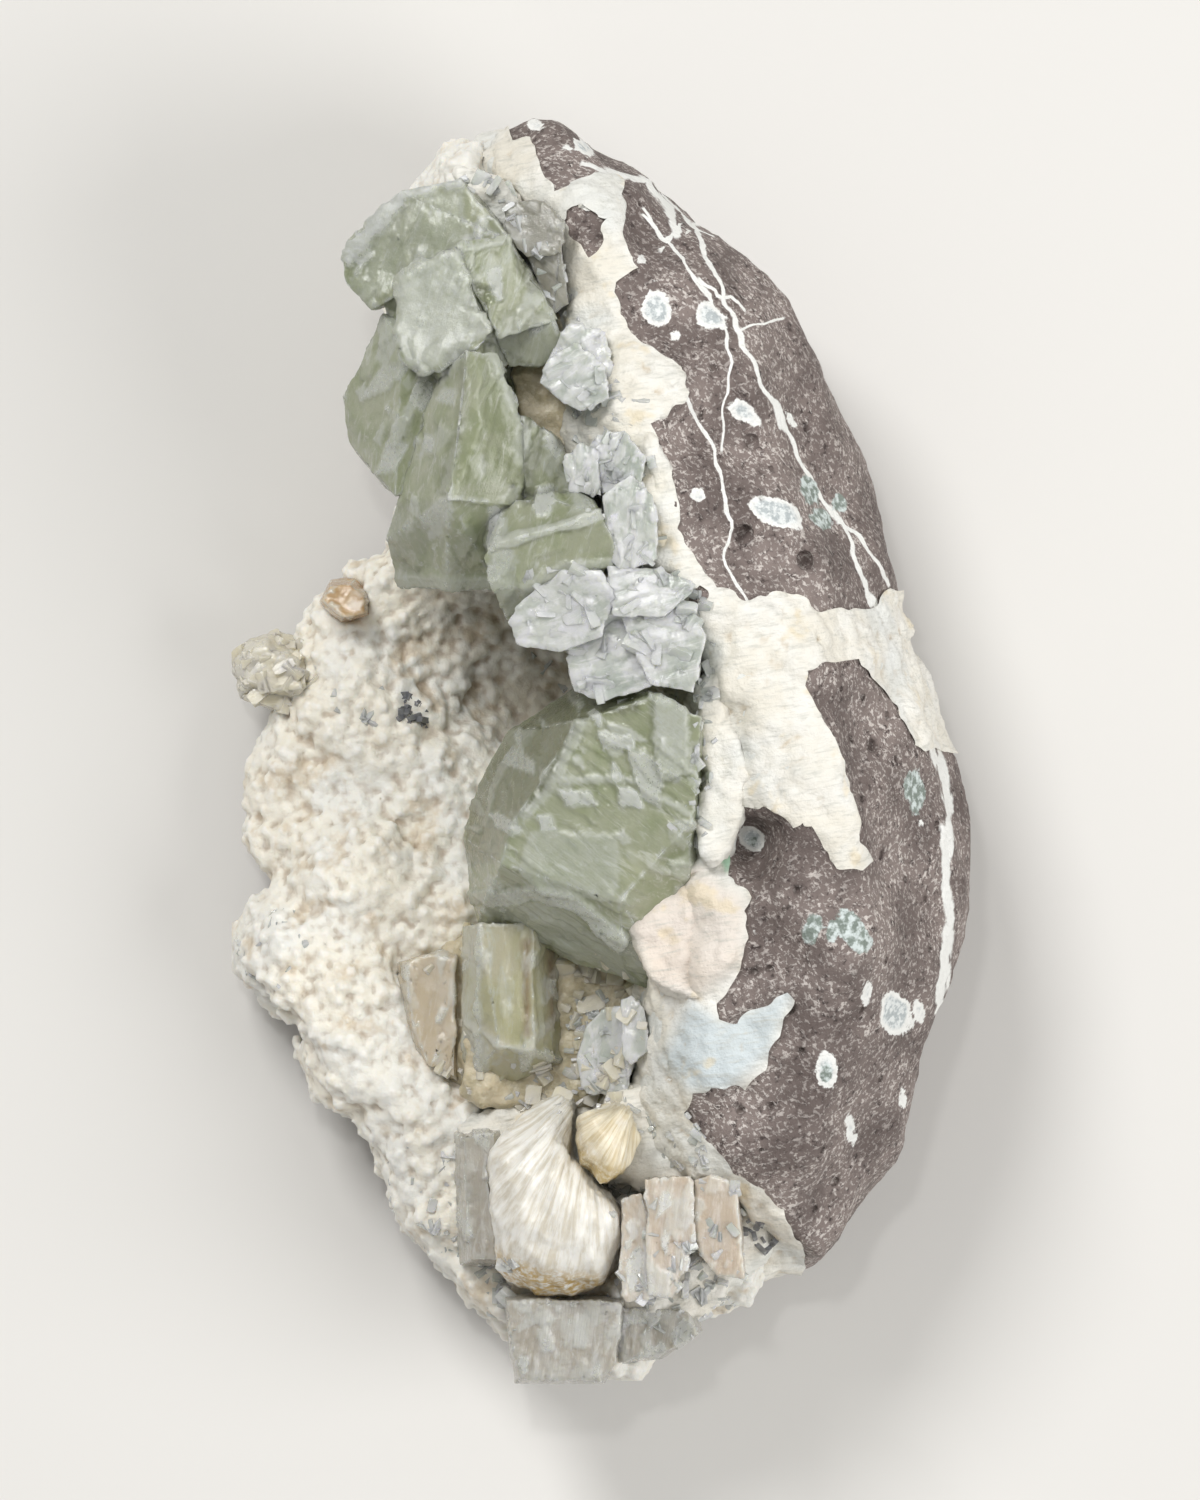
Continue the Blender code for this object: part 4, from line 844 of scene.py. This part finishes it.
green = dict(deep="#afb792", milky="#c5c9ae", wisp="#e2e5d8", frosted="#eaede8", shaded="#7d8060", cloud=7,
             lines=0.4, rough=0.08, clear=0.5, absorb="#c8d3a8", density=26, steps=(1.9, 0.3))
crystalKinds = {
    "apophyllite": green,
    "oliveApophyllite": dict(green, deep="#cfcda6", milky="#ded9bf", absorb="#ccc58c", shaded="#8a6a4a"),
    "clearApophyllite": dict(green, deep="#c9d0c6", milky="#e4e7df", wisp="#fdfdfb", frosted="#ffffff",
                             absorb="#e8ece0", density=4, shaded="#a09880", rough=0.04, clear=0.38),
    "cloudyCalcite": dict(green, deep="#a9a698", milky="#b9b7ab", wisp="#c8c8c0", frosted="#d4d4cc",
                          absorb="#d0cfc4", density=12, shaded="#807a68", lines=0.1),
    "darkBlades": dict(green, deep="#83858a", milky="#95979b", wisp="#b2b3b4", frosted="#c0beb8",
                       absorb="#b0aca4", density=60, shaded="#4a4640"),
    "beigeCalcite": dict(green, deep="#dccdb2", milky="#e9dfcd", wisp="#f2ecdf", absorb="#dcc8a4",
                         shaded="#9c8466", density=8, clear=0.35),
    "creamCalcite": dict(green, deep="#e8dec2", milky="#f0e8d0", wisp="#f6f0e0", absorb="#e4d8b8",
                         frosted="#f4f0e4", shaded="#9c8466", density=10, clear=0.3),
    "peachCalcite": dict(green, deep="#c6a273", milky="#cfb188", wisp="#dac69f", absorb="#e0bc88",
                         shaded="#8a6a48", density=8, clear=0.25, lines=0.2),
    "smokyStilbite": dict(green, deep="#cfc8ba", milky="#dedbd2", wisp="#f2f1ec", absorb="#d0c6b4",
                          shaded="#80766a", density=18, clear=0.45, lines=1.0, steps=(1.0, 0.3)),
    "peachStilbite": dict(green, deep="#d8c8b4", milky="#e6dccd", wisp="#f0e8de", absorb="#dcc8b0",
                          shaded="#8c7458", density=18, clear=0.3, lines=0.8, steps=(1.0, 0.25))}

upperForms = [  # outline in the photo's pixels, lift in mm, frosting (painted light on the first patch), shading
    # painted light: frosting that lightens the upper left crystal
    ([(352, 270), (408, 205), (440, 193), (462, 193), (470, 250), (400, 281), (345, 330)], 0, 0.3, 0),
    ([(336, 258), (403, 190), (440, 180), (468, 184), (462, 193), (438, 193), (408, 205), (352, 270)],
     0.5, 0.9, 0),
    ([(400, 281), (455, 251), (507, 241), (503, 250), (458, 262), (405, 292)], 0.35, 0.6, 0),
    ([(405, 205), (425, 198), (440, 230), (430, 262), (405, 270)], 0.25, 0.15, 0.12),
    ([(370, 225), (388, 212), (396, 222), (380, 236)], 0, 0, 0.5),
    ([(400, 340), (405, 360), (420, 378), (440, 372), (455, 355), (485, 345), (492, 335), (474, 290),
      (457, 260), (420, 265), (398, 285)], 0.5, 0.6, 0),
    ([(470, 288), (494, 292), (488, 318), (466, 312)], -0.7, 0, 0.4),
    ([(467, 184), (485, 190), (505, 208), (518, 245), (508, 250), (488, 215)], 0.3, 0.35, 0.25),
    ([(505, 208), (530, 245), (545, 290), (530, 300), (515, 262)], -0.3, 0, 0.75),
    ([(434, 373), (422, 405), (410, 430), (398, 452), (388, 446), (400, 424), (411, 400), (424, 374)],
     0.45, 0.55, 0),
    ([(343, 330), (380, 318), (372, 350), (350, 380), (341, 380)], 0, 0.12, 0),
    ([(470, 356), (468, 430), (462, 460), (445, 500), (436, 497), (450, 458), (457, 430), (460, 356)],
     -0.3, 0.1, 0.45),
    ([(472, 350), (490, 346), (499, 370), (516, 410), (523, 430), (519, 450), (522, 507), (450, 504),
      (467, 460), (475, 430)], 0.5, 0, 0.15),
    ([(490, 346), (500, 370), (517, 410), (524, 432), (516, 434), (507, 412), (490, 374), (482, 350)],
     0.35, 0.55, 0),
    ([(400, 505), (440, 503), (432, 540), (415, 580), (398, 582), (386, 540)], 0, 0.1, 0.25),
    ([(396, 573), (498, 580), (496, 592), (396, 588)], 0.3, 0.45, 0),
    ([(519, 507), (530, 450), (546, 422), (540, 470), (536, 507)], -0.3, 0.1, 0.4),
    ([(546, 420), (552, 440), (578, 500), (572, 506), (548, 460)], 0.3, 0.4, 0),
    ([(512, 372), (560, 375), (586, 430), (582, 457), (548, 424), (522, 432)], 0.5, 0, 0.9),
    ([(500, 318), (530, 310), (562, 328), (557, 367), (520, 364), (498, 350)], 0.3, 0.25, 0.3),
    ([(490, 562), (492, 530), (505, 516), (514, 560), (520, 600), (508, 620), (498, 615)], -0.15, 0.45, 0),
    ([(498, 541), (602, 514), (603, 523), (502, 551)], 0.4, 0.55, 0),
    ([(520, 585), (560, 565), (612, 560), (612, 568), (562, 578), (526, 604)], 0.3, 0.4, 0)]
middleForms = [
    ([(640, 690), (600, 700), (580, 687), (540, 710), (508, 735), (495, 755), (480, 785), (466, 820),
      (463, 850), (467, 872), (500, 860), (520, 820), (548, 792), (563, 760), (582, 722), (640, 712)],
     0, 0.05, 0.75),
    ([(578, 720), (588, 722), (570, 760), (552, 795), (525, 822), (520, 816), (545, 788), (560, 757)],
     0.3, 0.5, 0),
    ([(530, 728), (536, 732), (505, 775), (488, 830), (482, 828), (498, 772)], 0.25, 0.4, 0),
    ([(598, 733), (632, 737), (636, 750), (604, 750)], 0.35, 0.8, 0),
    ([(628, 750), (645, 752), (664, 770), (660, 810), (640, 797), (632, 775)], 0.5, 0.75, 0),
    ([(558, 790), (590, 791), (597, 804), (566, 807)], 0.35, 0.8, 0),
    ([(538, 815), (553, 816), (557, 829), (543, 832)], 0.3, 0.8, 0),
    ([(616, 785), (638, 789), (643, 810), (620, 806)], 0.4, 0.9, 0),
    ([(655, 698), (685, 702), (690, 776), (662, 782), (652, 740)], 0.7, 0.6, 0),
    ([(560, 777), (630, 776), (693, 812), (690, 820), (628, 784), (560, 785)], 0.3, 0.55, 0),
    ([(530, 830), (620, 835), (617, 902), (540, 890), (518, 870)], 0.2, 0.4, 0),
    ([(463, 893), (540, 883), (580, 893), (630, 936), (622, 951), (572, 908), (540, 898), (465, 908)],
     0.6, 0.75, 0),
    # painted light: frosting that lightens the middle crystal's lower face
    ([(466, 908), (540, 900), (571, 911), (618, 953), (640, 985), (600, 965), (530, 943), (480, 922)],
     0, 0.5, 0),
    ([(480, 925), (560, 940), (600, 957), (598, 962), (556, 947), (480, 932)], 0.2, 0.3, 0)]
lowerForms = [
    ([(463, 925), (481, 925), (481, 1100), (463, 1100)], 0.2, 0.4, 0),
    ([(478, 925), (484, 925), (484, 1098), (478, 1098)], 0.3, 0.7, 0),
    ([(524, 943), (529, 943), (530, 1037), (525, 1037)], 0.15, 0, 0.8),
    ([(536, 943), (539, 943), (541, 1035), (538, 1035)], 0.1, 0.3, 0),
    ([(545, 943), (551, 943), (552, 1030), (546, 1030)], 0.15, 0, 0.8),
    ([(556, 943), (559, 943), (561, 1020), (557, 1020)], 0.1, 0, 0.6),
    ([(465, 1017), (500, 1042), (522, 1047), (562, 1059), (560, 1066), (518, 1054), (497, 1049),
      (465, 1025)], 0.25, 0.6, 0),
    ([(523, 1048), (554, 1012), (560, 1014), (530, 1052)], 0.2, 0.5, 0),
    ([(558, 975), (590, 973), (588, 1005), (562, 1004)], 0.9, 0.35, 0)]

crystalPieces = [  # name, node, kind, slot, mesh edge, clefts, grain, forms, flakes and their size
    ("apophylliteUpper", "apophyllite_upper", "apophyllite", "apophyllite", 0.7, True, 72, upperForms,
     170, 1.5),
    ("apophylliteMiddle", "apophyllite_middle", "apophyllite", "apophyllite", 0.6, False, -38, middleForms,
     110, 1.3),
    ("apophylliteLower", "apophyllite_lower", "oliveApophyllite", "olive_apophyllite", 0.6, True, 90,
     lowerForms, 60, 1.0),
    ("clearCrystalsBridge", "clear_crystals_bridge", "clearApophyllite", "clear_apophyllite", 0.56, True,
     15, [], 130, 1.3),
    ("clearCrystalsRim", "clear_crystals_rim", "clearApophyllite", "clear_apophyllite", 0.45, True, 80, [],
     70, 1.0),
    ("clearCrystalsTop", "clear_crystals_top", "clearApophyllite", "clear_apophyllite", 0.45, True, 30, [],
     60, 1.0),
    ("cloudyLobe", "cloudy_lobe", "cloudyCalcite", "clear_apophyllite", 0.5, True, -40, [], 16, 1.0),
    ("clearCrystalsLower", "clear_crystals_lower", "clearApophyllite", "clear_apophyllite", 0.5, True, 75,
     [], 40, 1.0),
    ("smokyCrystal", "smoky_crystal", "smokyStilbite", "smoky_stilbite", 0.5, False, 90, [], 30, 1.0),
    ("stilbiteBlocks", "stilbite_blocks", "smokyStilbite", "smoky_stilbite", 0.5, True, 82, [], 90, 1.2),
    ("beigeCrystal", "beige_crystal", "beigeCalcite", "beige_calcite", 0.5, False, 80, [], 26, 1.2),
    ("peachCrystal", "peach_crystal", "peachCalcite", "beige_calcite", 0.5, False, 0, [], 8, 0.8),
    ("tanSpur", "tan_spur", "creamCalcite", "tan_druse", 0.5, True, 20, [], 60, 0.9),
    ("stilbiteFibres", "stilbite_fibres", "peachStilbite", "stilbite", 0.5, True, 84, [], 80, 1.2),
    ("stilbiteBlade", "stilbite_blade", "peachStilbite", "peach_stilbite", 0.5, False, 87, [], 16, 0.9)]


def buildCrystals():
    rng = np.random.default_rng(chips["seed"])
    for name, node, kind, slot, edge, clefts, grain, forms, count, size in crystalPieces:
        piece = copyNodes(name, [node], chips["swell"])
        ends = crystalEdges(piece)
        fineFaces(piece, edge)
        if clefts:
            fill = closedCopy("fill", [node], -chips["sunk"], chips["closing"], chips["voxel"])
            piece = join(name, [piece, fill])
        points, normals = getPoints(piece) / mm, getNormals(piece)
        gap = edgeGaps(points, ends)
        steps = growthSteps(points, *crystalKinds[kind]["steps"], grain) * smoothStep(normals[:, 2] * 3)
        flaked, frost = flakes(points, normals, rng, count, size, grain, chips["flake"])
        worn = smoothStep(1 - gap / chips["wornWidth"]) * smoothStep(noiseAt(points, 0.9) * 1.5 + 0.55)
        risen, patches, shade = addForms(points, normals, forms)
        lift = steps + flaked + risen - worn * chips["wornDepth"]
        for pitch, height in chips["ripples"]:
            lift = lift + noiseAt(points, pitch) * height
        piece.data.update()
        setPoints(piece, (points + normals * lift[:, None]) * mm)
        # frost: real frosting of scraps and worn edges, and painted light from a few named patches
        mark(piece, "frost", np.clip(np.maximum(np.maximum(frost, worn * 0.8), patches), 0, 1))
        mark(piece, "shade", shade)
        smoothShade(piece, chips["shading"])
        place(piece, crystalFinish(kind, dict(crystalKinds[kind], grain=grain)), slot, [node])
        print(name, len(piece.data.polygons))


# Massive white and tan between the crystals: what they stand in at the rim, the bridge and the foot
massLook = dict(edge=(0.7, 0.7, 2), depth=14, voxels=(0.7, 0.6), smoothing=12, lumps=(3.6, -1.8),
                fibre=0.3, knots=(1.6, 0.4), far=9.0)
masses = [  # name, slot, finish, and blocks as height over the solids in mm and outline in pixels
    ("silkyStilbite", "zeolite_rind", "massiveStilbite", (
        (1.6, [(618, 858), (650, 850), (700, 866), (744, 900), (742, 955), (716, 990), (690, 1000),
               (655, 985), (635, 950), (622, 905)]),
        (0.3, [(688, 686), (725, 690), (748, 760), (744, 812), (728, 862), (700, 868), (688, 820),
               (702, 780), (694, 720)]),
        (0.3, [(652, 560), (730, 590), (740, 640), (728, 702), (688, 702), (715, 660), (700, 620),
               (655, 592)]),
        (0.2, [(640, 430), (660, 440), (674, 480), (678, 540), (704, 588), (655, 592), (652, 500)]),
        (0.0, [(450, 172), (500, 180), (546, 232), (584, 345), (556, 352), (538, 300), (505, 232),
               (470, 196)]),
        (-0.5, [(600, 1180), (650, 1184), (700, 1118), (748, 1180), (778, 1250), (700, 1322),
                (640, 1326), (612, 1300), (622, 1240)]),
        (0.0, [(604, 1090), (660, 1086), (712, 1096), (716, 1180), (640, 1190), (606, 1180)]),
        (-2.0, [(455, 1128), (500, 1112), (560, 1085), (650, 1090), (664, 1180), (620, 1184),
                (500, 1180), (470, 1170)]))),
    ("tanFilling", "beige_calcite", "tanCalcite", (
        (-1.5, [(441, 945), (484, 935), (484, 1095), (444, 1080)]),
        (-4.0, [(466, 932), (640, 950), (662, 1000), (652, 1108), (500, 1112), (460, 1100)]),
        (-3.0, [(500, 300), (560, 312), (600, 352), (590, 440), (560, 470), (520, 430), (505, 360)]),
        (-3.0, [(560, 500), (612, 520), (620, 600), (560, 610), (500, 600), (520, 540)])))]


def solidSurface(more=()):  # the solids' faces and some pieces', to find heights on
    corners, faces = [], []
    for node in [*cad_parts.values(), *more]:
        first = len(corners)
        corners += [vert.co.copy() for vert in node.data.vertices]
        faces += [[first + index for index in face.vertices] for face in node.data.polygons]
    return BVHTree.FromPolygons(corners, faces)


def lowerTo(solids, x, y):  # the first face below a place in plan, and the way it faces
    hit, normal, _, _ = solids.ray_cast(Vector((x, y, 100)) * mm, Vector((0, 0, -1)))
    return hit, normal


def tanFinish():
    # Calcite in the shade of the cavity: tan, cloudy, a little see-through
    material, tree, coords = startMaterial("tanCalcite")
    tone = paint(tree, "#c9bda2", [
        (mask(tree, coords, (3, 4), 0.35, 0.65), "#b0a68a"),
        (mask(tree, coords, (0.9, 4), 0.5, 0.7, 0, 0.6), "#d5cdb8")])
    normal = roughen(tree, [(pattern(tree, coords, (0.7, 4)), 0.3, 0.8)])
    finishMaterial(tree, {"Base Color": tone, "Roughness": 0.3, "Normal": normal,
                          "Subsurface Weight": 0.5, "Subsurface Radius": (1.0, 0.85, 0.6),
                          "Subsurface Scale": 1.5 * mm})
    return material


def buildMasses():
    solids = solidSurface()
    finishes = {"massiveStilbite": bpy.data.materials["whiteZeolite"], "tanCalcite": tanFinish()}
    for name, slot, finish, parts in masses:
        blocks = []
        for rise, outline in parts:
            outline = plan(outline)
            hits = [lowerTo(solids, x, y)[0] for x, y in outline]
            heights = [hit.z / mm for hit in hits if hit]
            top = sum(heights) / len(heights) + rise
            edge = ragged(outline, *massLook["edge"])
            blocks.append(outlineSolid("block", edge, top - massLook["depth"], top))
        piece = join(name, blocks)
        remesh(piece, massLook["voxels"][0])
        modify(piece, "SMOOTH", factor=0.5, iterations=massLook["smoothing"])
        relief(piece, "VORONOI", *massLook["lumps"])
        remesh(piece, massLook["voxels"][1])
        points = getPoints(piece) / mm
        size, height = massLook["knots"]
        lift = fibrous(points, 0.6) * massLook["fibre"] + noiseAt(points, size) * height
        setPoints(piece, (points + getNormals(piece) * lift[:, None]) * mm)
        # depth for painted shade in the hollows
        mark(piece, "hollow", hollows(piece, 14) * 0.4)
        mark(piece, "cone", 0.6 * smoothStep(0.5 - insideOutline(points, plan(rindLook["cone"])) / 3))
        mark(piece, "tongue", np.zeros(len(points)))
        for patch in ("rust", "mint"):
            mark(piece, patch, np.full(len(points), massLook["far"]))
        smoothShade(piece)
        place(piece, finishes[finish], slot)
        print(name, len(piece.data.polygons))


# Small crystals: grains that crowd the rims, the bridge and the foot of the cavity
grains = dict(tilt=0.7, sunk=0.25, seed=21)
grainKinds = [  # finish, name, crystal, slot, proportions, most frosting
    ("clear", "clearGrains", "clearApophyllite", "clear_apophyllite", (1.2, 0.9, 0.5), 0.9),
    ("tan", "tanGrains", "creamCalcite", "tan_druse", (1.1, 0.9, 0.7), 0.9),
    ("dark", "darkGrains", "darkBlades", "smoky_stilbite", (0.45, 0.9, 0.9), 0.1)]
grainZones = dict(  # how many, sizes in mm, outline in the photo's pixels
    clear=[
        (16, (0.5, 1.4), [(548, 350), (604, 350), (612, 414), (575, 425), (552, 400)]),
        (24, (0.4, 1.0), [(586, 372), (642, 372), (648, 440), (598, 446)]),
        (80, (0.35, 1.0), [(566, 446), (652, 434), (664, 582), (612, 598), (596, 530), (568, 505)]),
        (130, (0.35, 1.3), [(508, 577), (560, 568), (612, 564), (668, 570), (724, 620), (718, 704),
         (640, 710), (575, 704), (538, 662), (504, 648)]),
        (70, (0.3, 0.9), [(575, 1000), (640, 995), (650, 1100), (560, 1115), (495, 1105), (495, 1065),
         (560, 1065)]),
        (45, (0.3, 0.9), [(650, 690), (722, 690), (716, 760), (700, 860), (664, 830), (692, 780),
         (688, 700)]),
        (34, (0.3, 0.7), [(340, 252), (403, 187), (440, 178), (470, 180), (472, 196), (440, 196),
         (408, 206), (350, 268)]),
        (70, (0.35, 1.0), [(455, 172), (505, 180), (560, 240), (592, 345), (560, 350), (548, 296),
         (520, 240), (498, 196)]),
        (70, (0.35, 0.9), [(234, 920), (262, 898), (302, 920), (298, 1002), (262, 1012), (236, 984)]),
        (70, (0.35, 1.0), [(385, 1150), (430, 1138), (460, 1160), (458, 1262), (410, 1257), (388, 1200)]),
        (90, (0.35, 0.9), [(638, 1250), (700, 1238), (744, 1250), (737, 1312), (690, 1342), (640, 1342)]),
        (80, (0.3, 0.9), [(622, 1105), (700, 1115), (750, 1180), (748, 1240), (694, 1250), (690, 1180),
         (650, 1150)]),
        (40, (0.3, 0.9), [(600, 1182), (654, 1182), (652, 1305), (606, 1305), (624, 1240)]),
        (34, (0.35, 1.1), [(464, 1262), (514, 1262), (514, 1337), (480, 1322)]),
        (26, (0.4, 1.2), [(318, 690), (384, 684), (388, 744), (322, 744)])],
    tan=[
        (60, (0.4, 1.2), [(232, 640), (262, 630), (302, 640), (322, 668), (290, 714), (236, 692)]),
        (60, (0.5, 1.5), [(556, 935), (640, 960), (650, 1100), (500, 1112), (464, 1095), (470, 1070),
         (560, 1060)]),
        (30, (0.3, 0.8), [(392, 950), (466, 950), (470, 1095), (400, 1092), (440, 1040), (400, 1000)])],
    dark=[
        (44, (0.4, 1.0), [(362, 704), (400, 694), (428, 704), (426, 730), (392, 722)]),
        # dark grains in a dark hollow: their dark tone is partly the grains' own and partly painted shade
        (16, (0.4, 1.0), [(744, 1215), (783, 1220), (777, 1256), (746, 1252)])])


def blockyCrystal():  # apophyllite's habit: a near cube with its corners cut off
    bm = bmesh.new()
    bmesh.ops.create_cube(bm, size=2)
    bmesh.ops.bevel(bm, geom=bm.verts[:], affect="VERTICES", offset=0.4, segments=1, profile=0.5,
                    material=-1)
    return linkForm("grain", bm)


def buildGrains():
    rng = np.random.default_rng(grains["seed"])
    solids = solidSurface([bpy.data.objects[name] for name, *_ in masses])
    for finish, name, kind, slot, proportions, most in grainKinds:
        made = []
        for count, (small, large), outline in grainZones[finish]:
            outline = plan(outline)
            low, high = np.min(outline, 0), np.max(outline, 0)
            spots = low + (high - low) * rng.random((count * 4, 2))
            for x, y in spots[insideOutline(spots, outline) < 0][:count]:
                hit, normal = lowerTo(solids, x, y)
                if not hit:
                    continue
                size = small + (large - small) * rng.random() ** 2
                shape = size * (0.75 + 0.5 * rng.random(3)) * proportions
                lean = normal + Vector(rng.normal(0, grains["tilt"], 3))
                turn = lean.to_track_quat("Z", "Y").to_euler()
                made.append((hit - normal * size * grains["sunk"] * mm, turn, shape * mm))
        piece = grow(name, blockyCrystal(), *zip(*made))
        points = getPoints(piece) / mm
        mark(piece, "frost", np.clip(noiseAt(points, 1.4) * 1.2 + 0.25, 0, most))
        mark(piece, "shade", np.zeros(len(points)))
        place(piece, crystalFinish(name, dict(crystalKinds[kind], grain=30)), slot)
        print(name, len(made))


# Stilbite: a bow-tie sheaf of thin pearly blades fanning from its upper right end
sheafLook = dict(swell=0.1, voxel=0.36, smoothing=10, relief=(3, 0.5), tipHeight=40, rim=2.5)
sheaves = [  # name, node, tip of the fan, slot, where its rim starts in mm, its tones
    ("stilbiteSheaf", "stilbite_sheaf", plan([(592, 1080)]), "stilbite", 23.5,
     ("#e9e7e0", "#cdc6b6", "#b89a5c")),
    ("stilbiteDisc", "stilbite_disc", plan([(640, 1090)]), "cream_stilbite", 9,
     ("#e6ddc6", "#cbbb98", "#c0a870"))]


def sheafFinish(name, light, shade, edgeTone):
    # Stilbite on its perfect cleavage: pearly white with fine lines along the fan
    material, tree, coords = startMaterial(name)
    fan = addNode(tree, "Attribute", output="Vector", attribute_name="fan")
    fan = addNode(tree, "Mapping", {"Vector": fan, "Scale": (7, 0.5, 1)}, vector_type="TEXTURE")
    lines = pattern(tree, fan, (1.0, 4, 0.65))
    beads = addNode(tree, "Math", {0: pattern(tree, coords, "rim"),
                                   1: mask(tree, coords, (0.8, 3), 0.35, 0.6)}, operation="MULTIPLY")
    tone = paint(tree, light, [
        (mask(tree, coords, lines, 0.38, 0.66), shade),
        (mask(tree, coords, (4, 3), 0.5, 0.7, 0, 0.5), "#f2f1ec"),
        (beads, edgeTone)])
    normal = roughen(tree, [(lines, 0.22, 0.8), (pattern(tree, coords, (0.7, 4)), 0.12, 0.5)])
    finishMaterial(tree, {"Base Color": tone, "Roughness": 0.34, "Normal": normal, "IOR": 1.5,
                          "Subsurface Weight": 0.3, "Subsurface Radius": (1.0, 0.9, 0.7),
                          "Subsurface Scale": 1.5 * mm, "Coat Weight": 0.25, "Coat Roughness": 0.3})
    return material


def fanCoordinates(piece, tip, height):  # across and along the fan, in millimetres
    points = getPoints(piece) / mm
    away = points - np.array([*tip, height])
    reach = np.linalg.norm(away[:, :2], axis=1)
    angle = np.arctan2(away[:, 1], away[:, 0])
    fan = np.stack([reach * mm, angle * 12 * mm, points[:, 2] * 0.3 * mm], 1)
    attribute = piece.data.attributes.new("fan", "FLOAT_VECTOR", "POINT")
    attribute.data.foreach_set("vector", np.ascontiguousarray(fan, "f").ravel())
    return fan


def buildSheaves():
    for name, node, (tip,), slot, reach, tones in sheaves:
        piece = copyNodes(name, [node], sheafLook["swell"])
        remesh(piece, sheafLook["voxel"])
        modify(piece, "SMOOTH", factor=0.5, iterations=sheafLook["smoothing"])
        relief(piece, "CLOUDS", *sheafLook["relief"], noise_depth=2)
        fan = fanCoordinates(piece, tip, sheafLook["tipHeight"]) / mm
        blades = noiseAt(fan * (0.12, 1.1, 0.6), 0.55) * 0.24 + noiseAt(fan * (0.1, 0.35, 0.3), 0.6) * 0.5
        setPoints(piece, getPoints(piece) + getNormals(piece) * blades[:, None] * mm)
        mark(piece, "rim", smoothStep((fan[:, 0] - reach) / sheafLook["rim"]))
        smoothShade(piece)
        place(piece, sheafFinish(name, *tones), slot, [node])
        print(name, len(piece.data.polygons))


# Floor, light and camera
studio = dict(floor="#d9d7d3", floorSize=3, world="#edecea", strength=0.48, aim=(0, 0, 0.03))
lights = [  # name, place and size in metres, power in watts
    ("keyLight", (-0.45, 0.75, 1.15), 0.5, 12),
    ("fillLight", (0.9, -0.3, 0.8), 0.9, 9),
    ("glintLight", (-0.12, 0.3, 1.6), 0.09, 2.4)]
lens = dict(focal=400, film=36, height=189, middle=35)  # millimetres


def buildStudio():
    bm = bmesh.new()
    bmesh.ops.create_grid(bm, x_segments=1, y_segments=1, size=studio["floorSize"])
    floor = linkForm("floor", bm)
    material, tree, _ = startMaterial("paleFloor")
    finishMaterial(tree, {"Base Color": linear(studio["floor"]), "Roughness": 0.9})
    floor.data.materials.append(material)

    world = bpy.data.worlds.new("studio")
    world.use_nodes = True
    sky = world.node_tree.nodes["Background"]
    sky.inputs["Color"].default_value = linear(studio["world"])
    sky.inputs["Strength"].default_value = studio["strength"]
    bpy.context.scene.world = world
    for name, spot, size, power in lights:
        data = bpy.data.lights.new(name, "AREA")
        data.shape = "DISK"
        data.size = size
        data.energy = power
        light = bpy.data.objects.new(name, data)
        light.location = spot
        light.rotation_euler = (Vector(studio["aim"]) - Vector(spot)).to_track_quat("-Z", "Y").to_euler()
        light.visible_camera = False
        bpy.context.scene.collection.objects.link(light)
    bpy.context.scene.view_settings.view_transform = "Standard"

    data = bpy.data.cameras.new("camera")
    data.sensor_fit = "VERTICAL"
    data.sensor_height = lens["film"]
    data.lens = lens["focal"]
    data.clip_end = 20
    camera = bpy.data.objects.new("camera", data)
    above = lens["height"] * lens["focal"] / lens["film"]
    camera.location = (0, 0, (above + lens["middle"]) * mm)
    bpy.context.scene.collection.objects.link(camera)
    bpy.context.scene.camera = camera


buildStudio()
print("studio ready")
buildRockAndRind()
buildCrust()
buildCrystals()
buildSheaves()
buildMasses()
buildGrains()

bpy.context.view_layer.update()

shown = [item for item in bpy.data.objects
         if item.type == "MESH" and item.data.materials and not item.hide_render]
print("triangles:", sum(len(face.vertices) - 2 for item in shown for face in item.data.polygons))
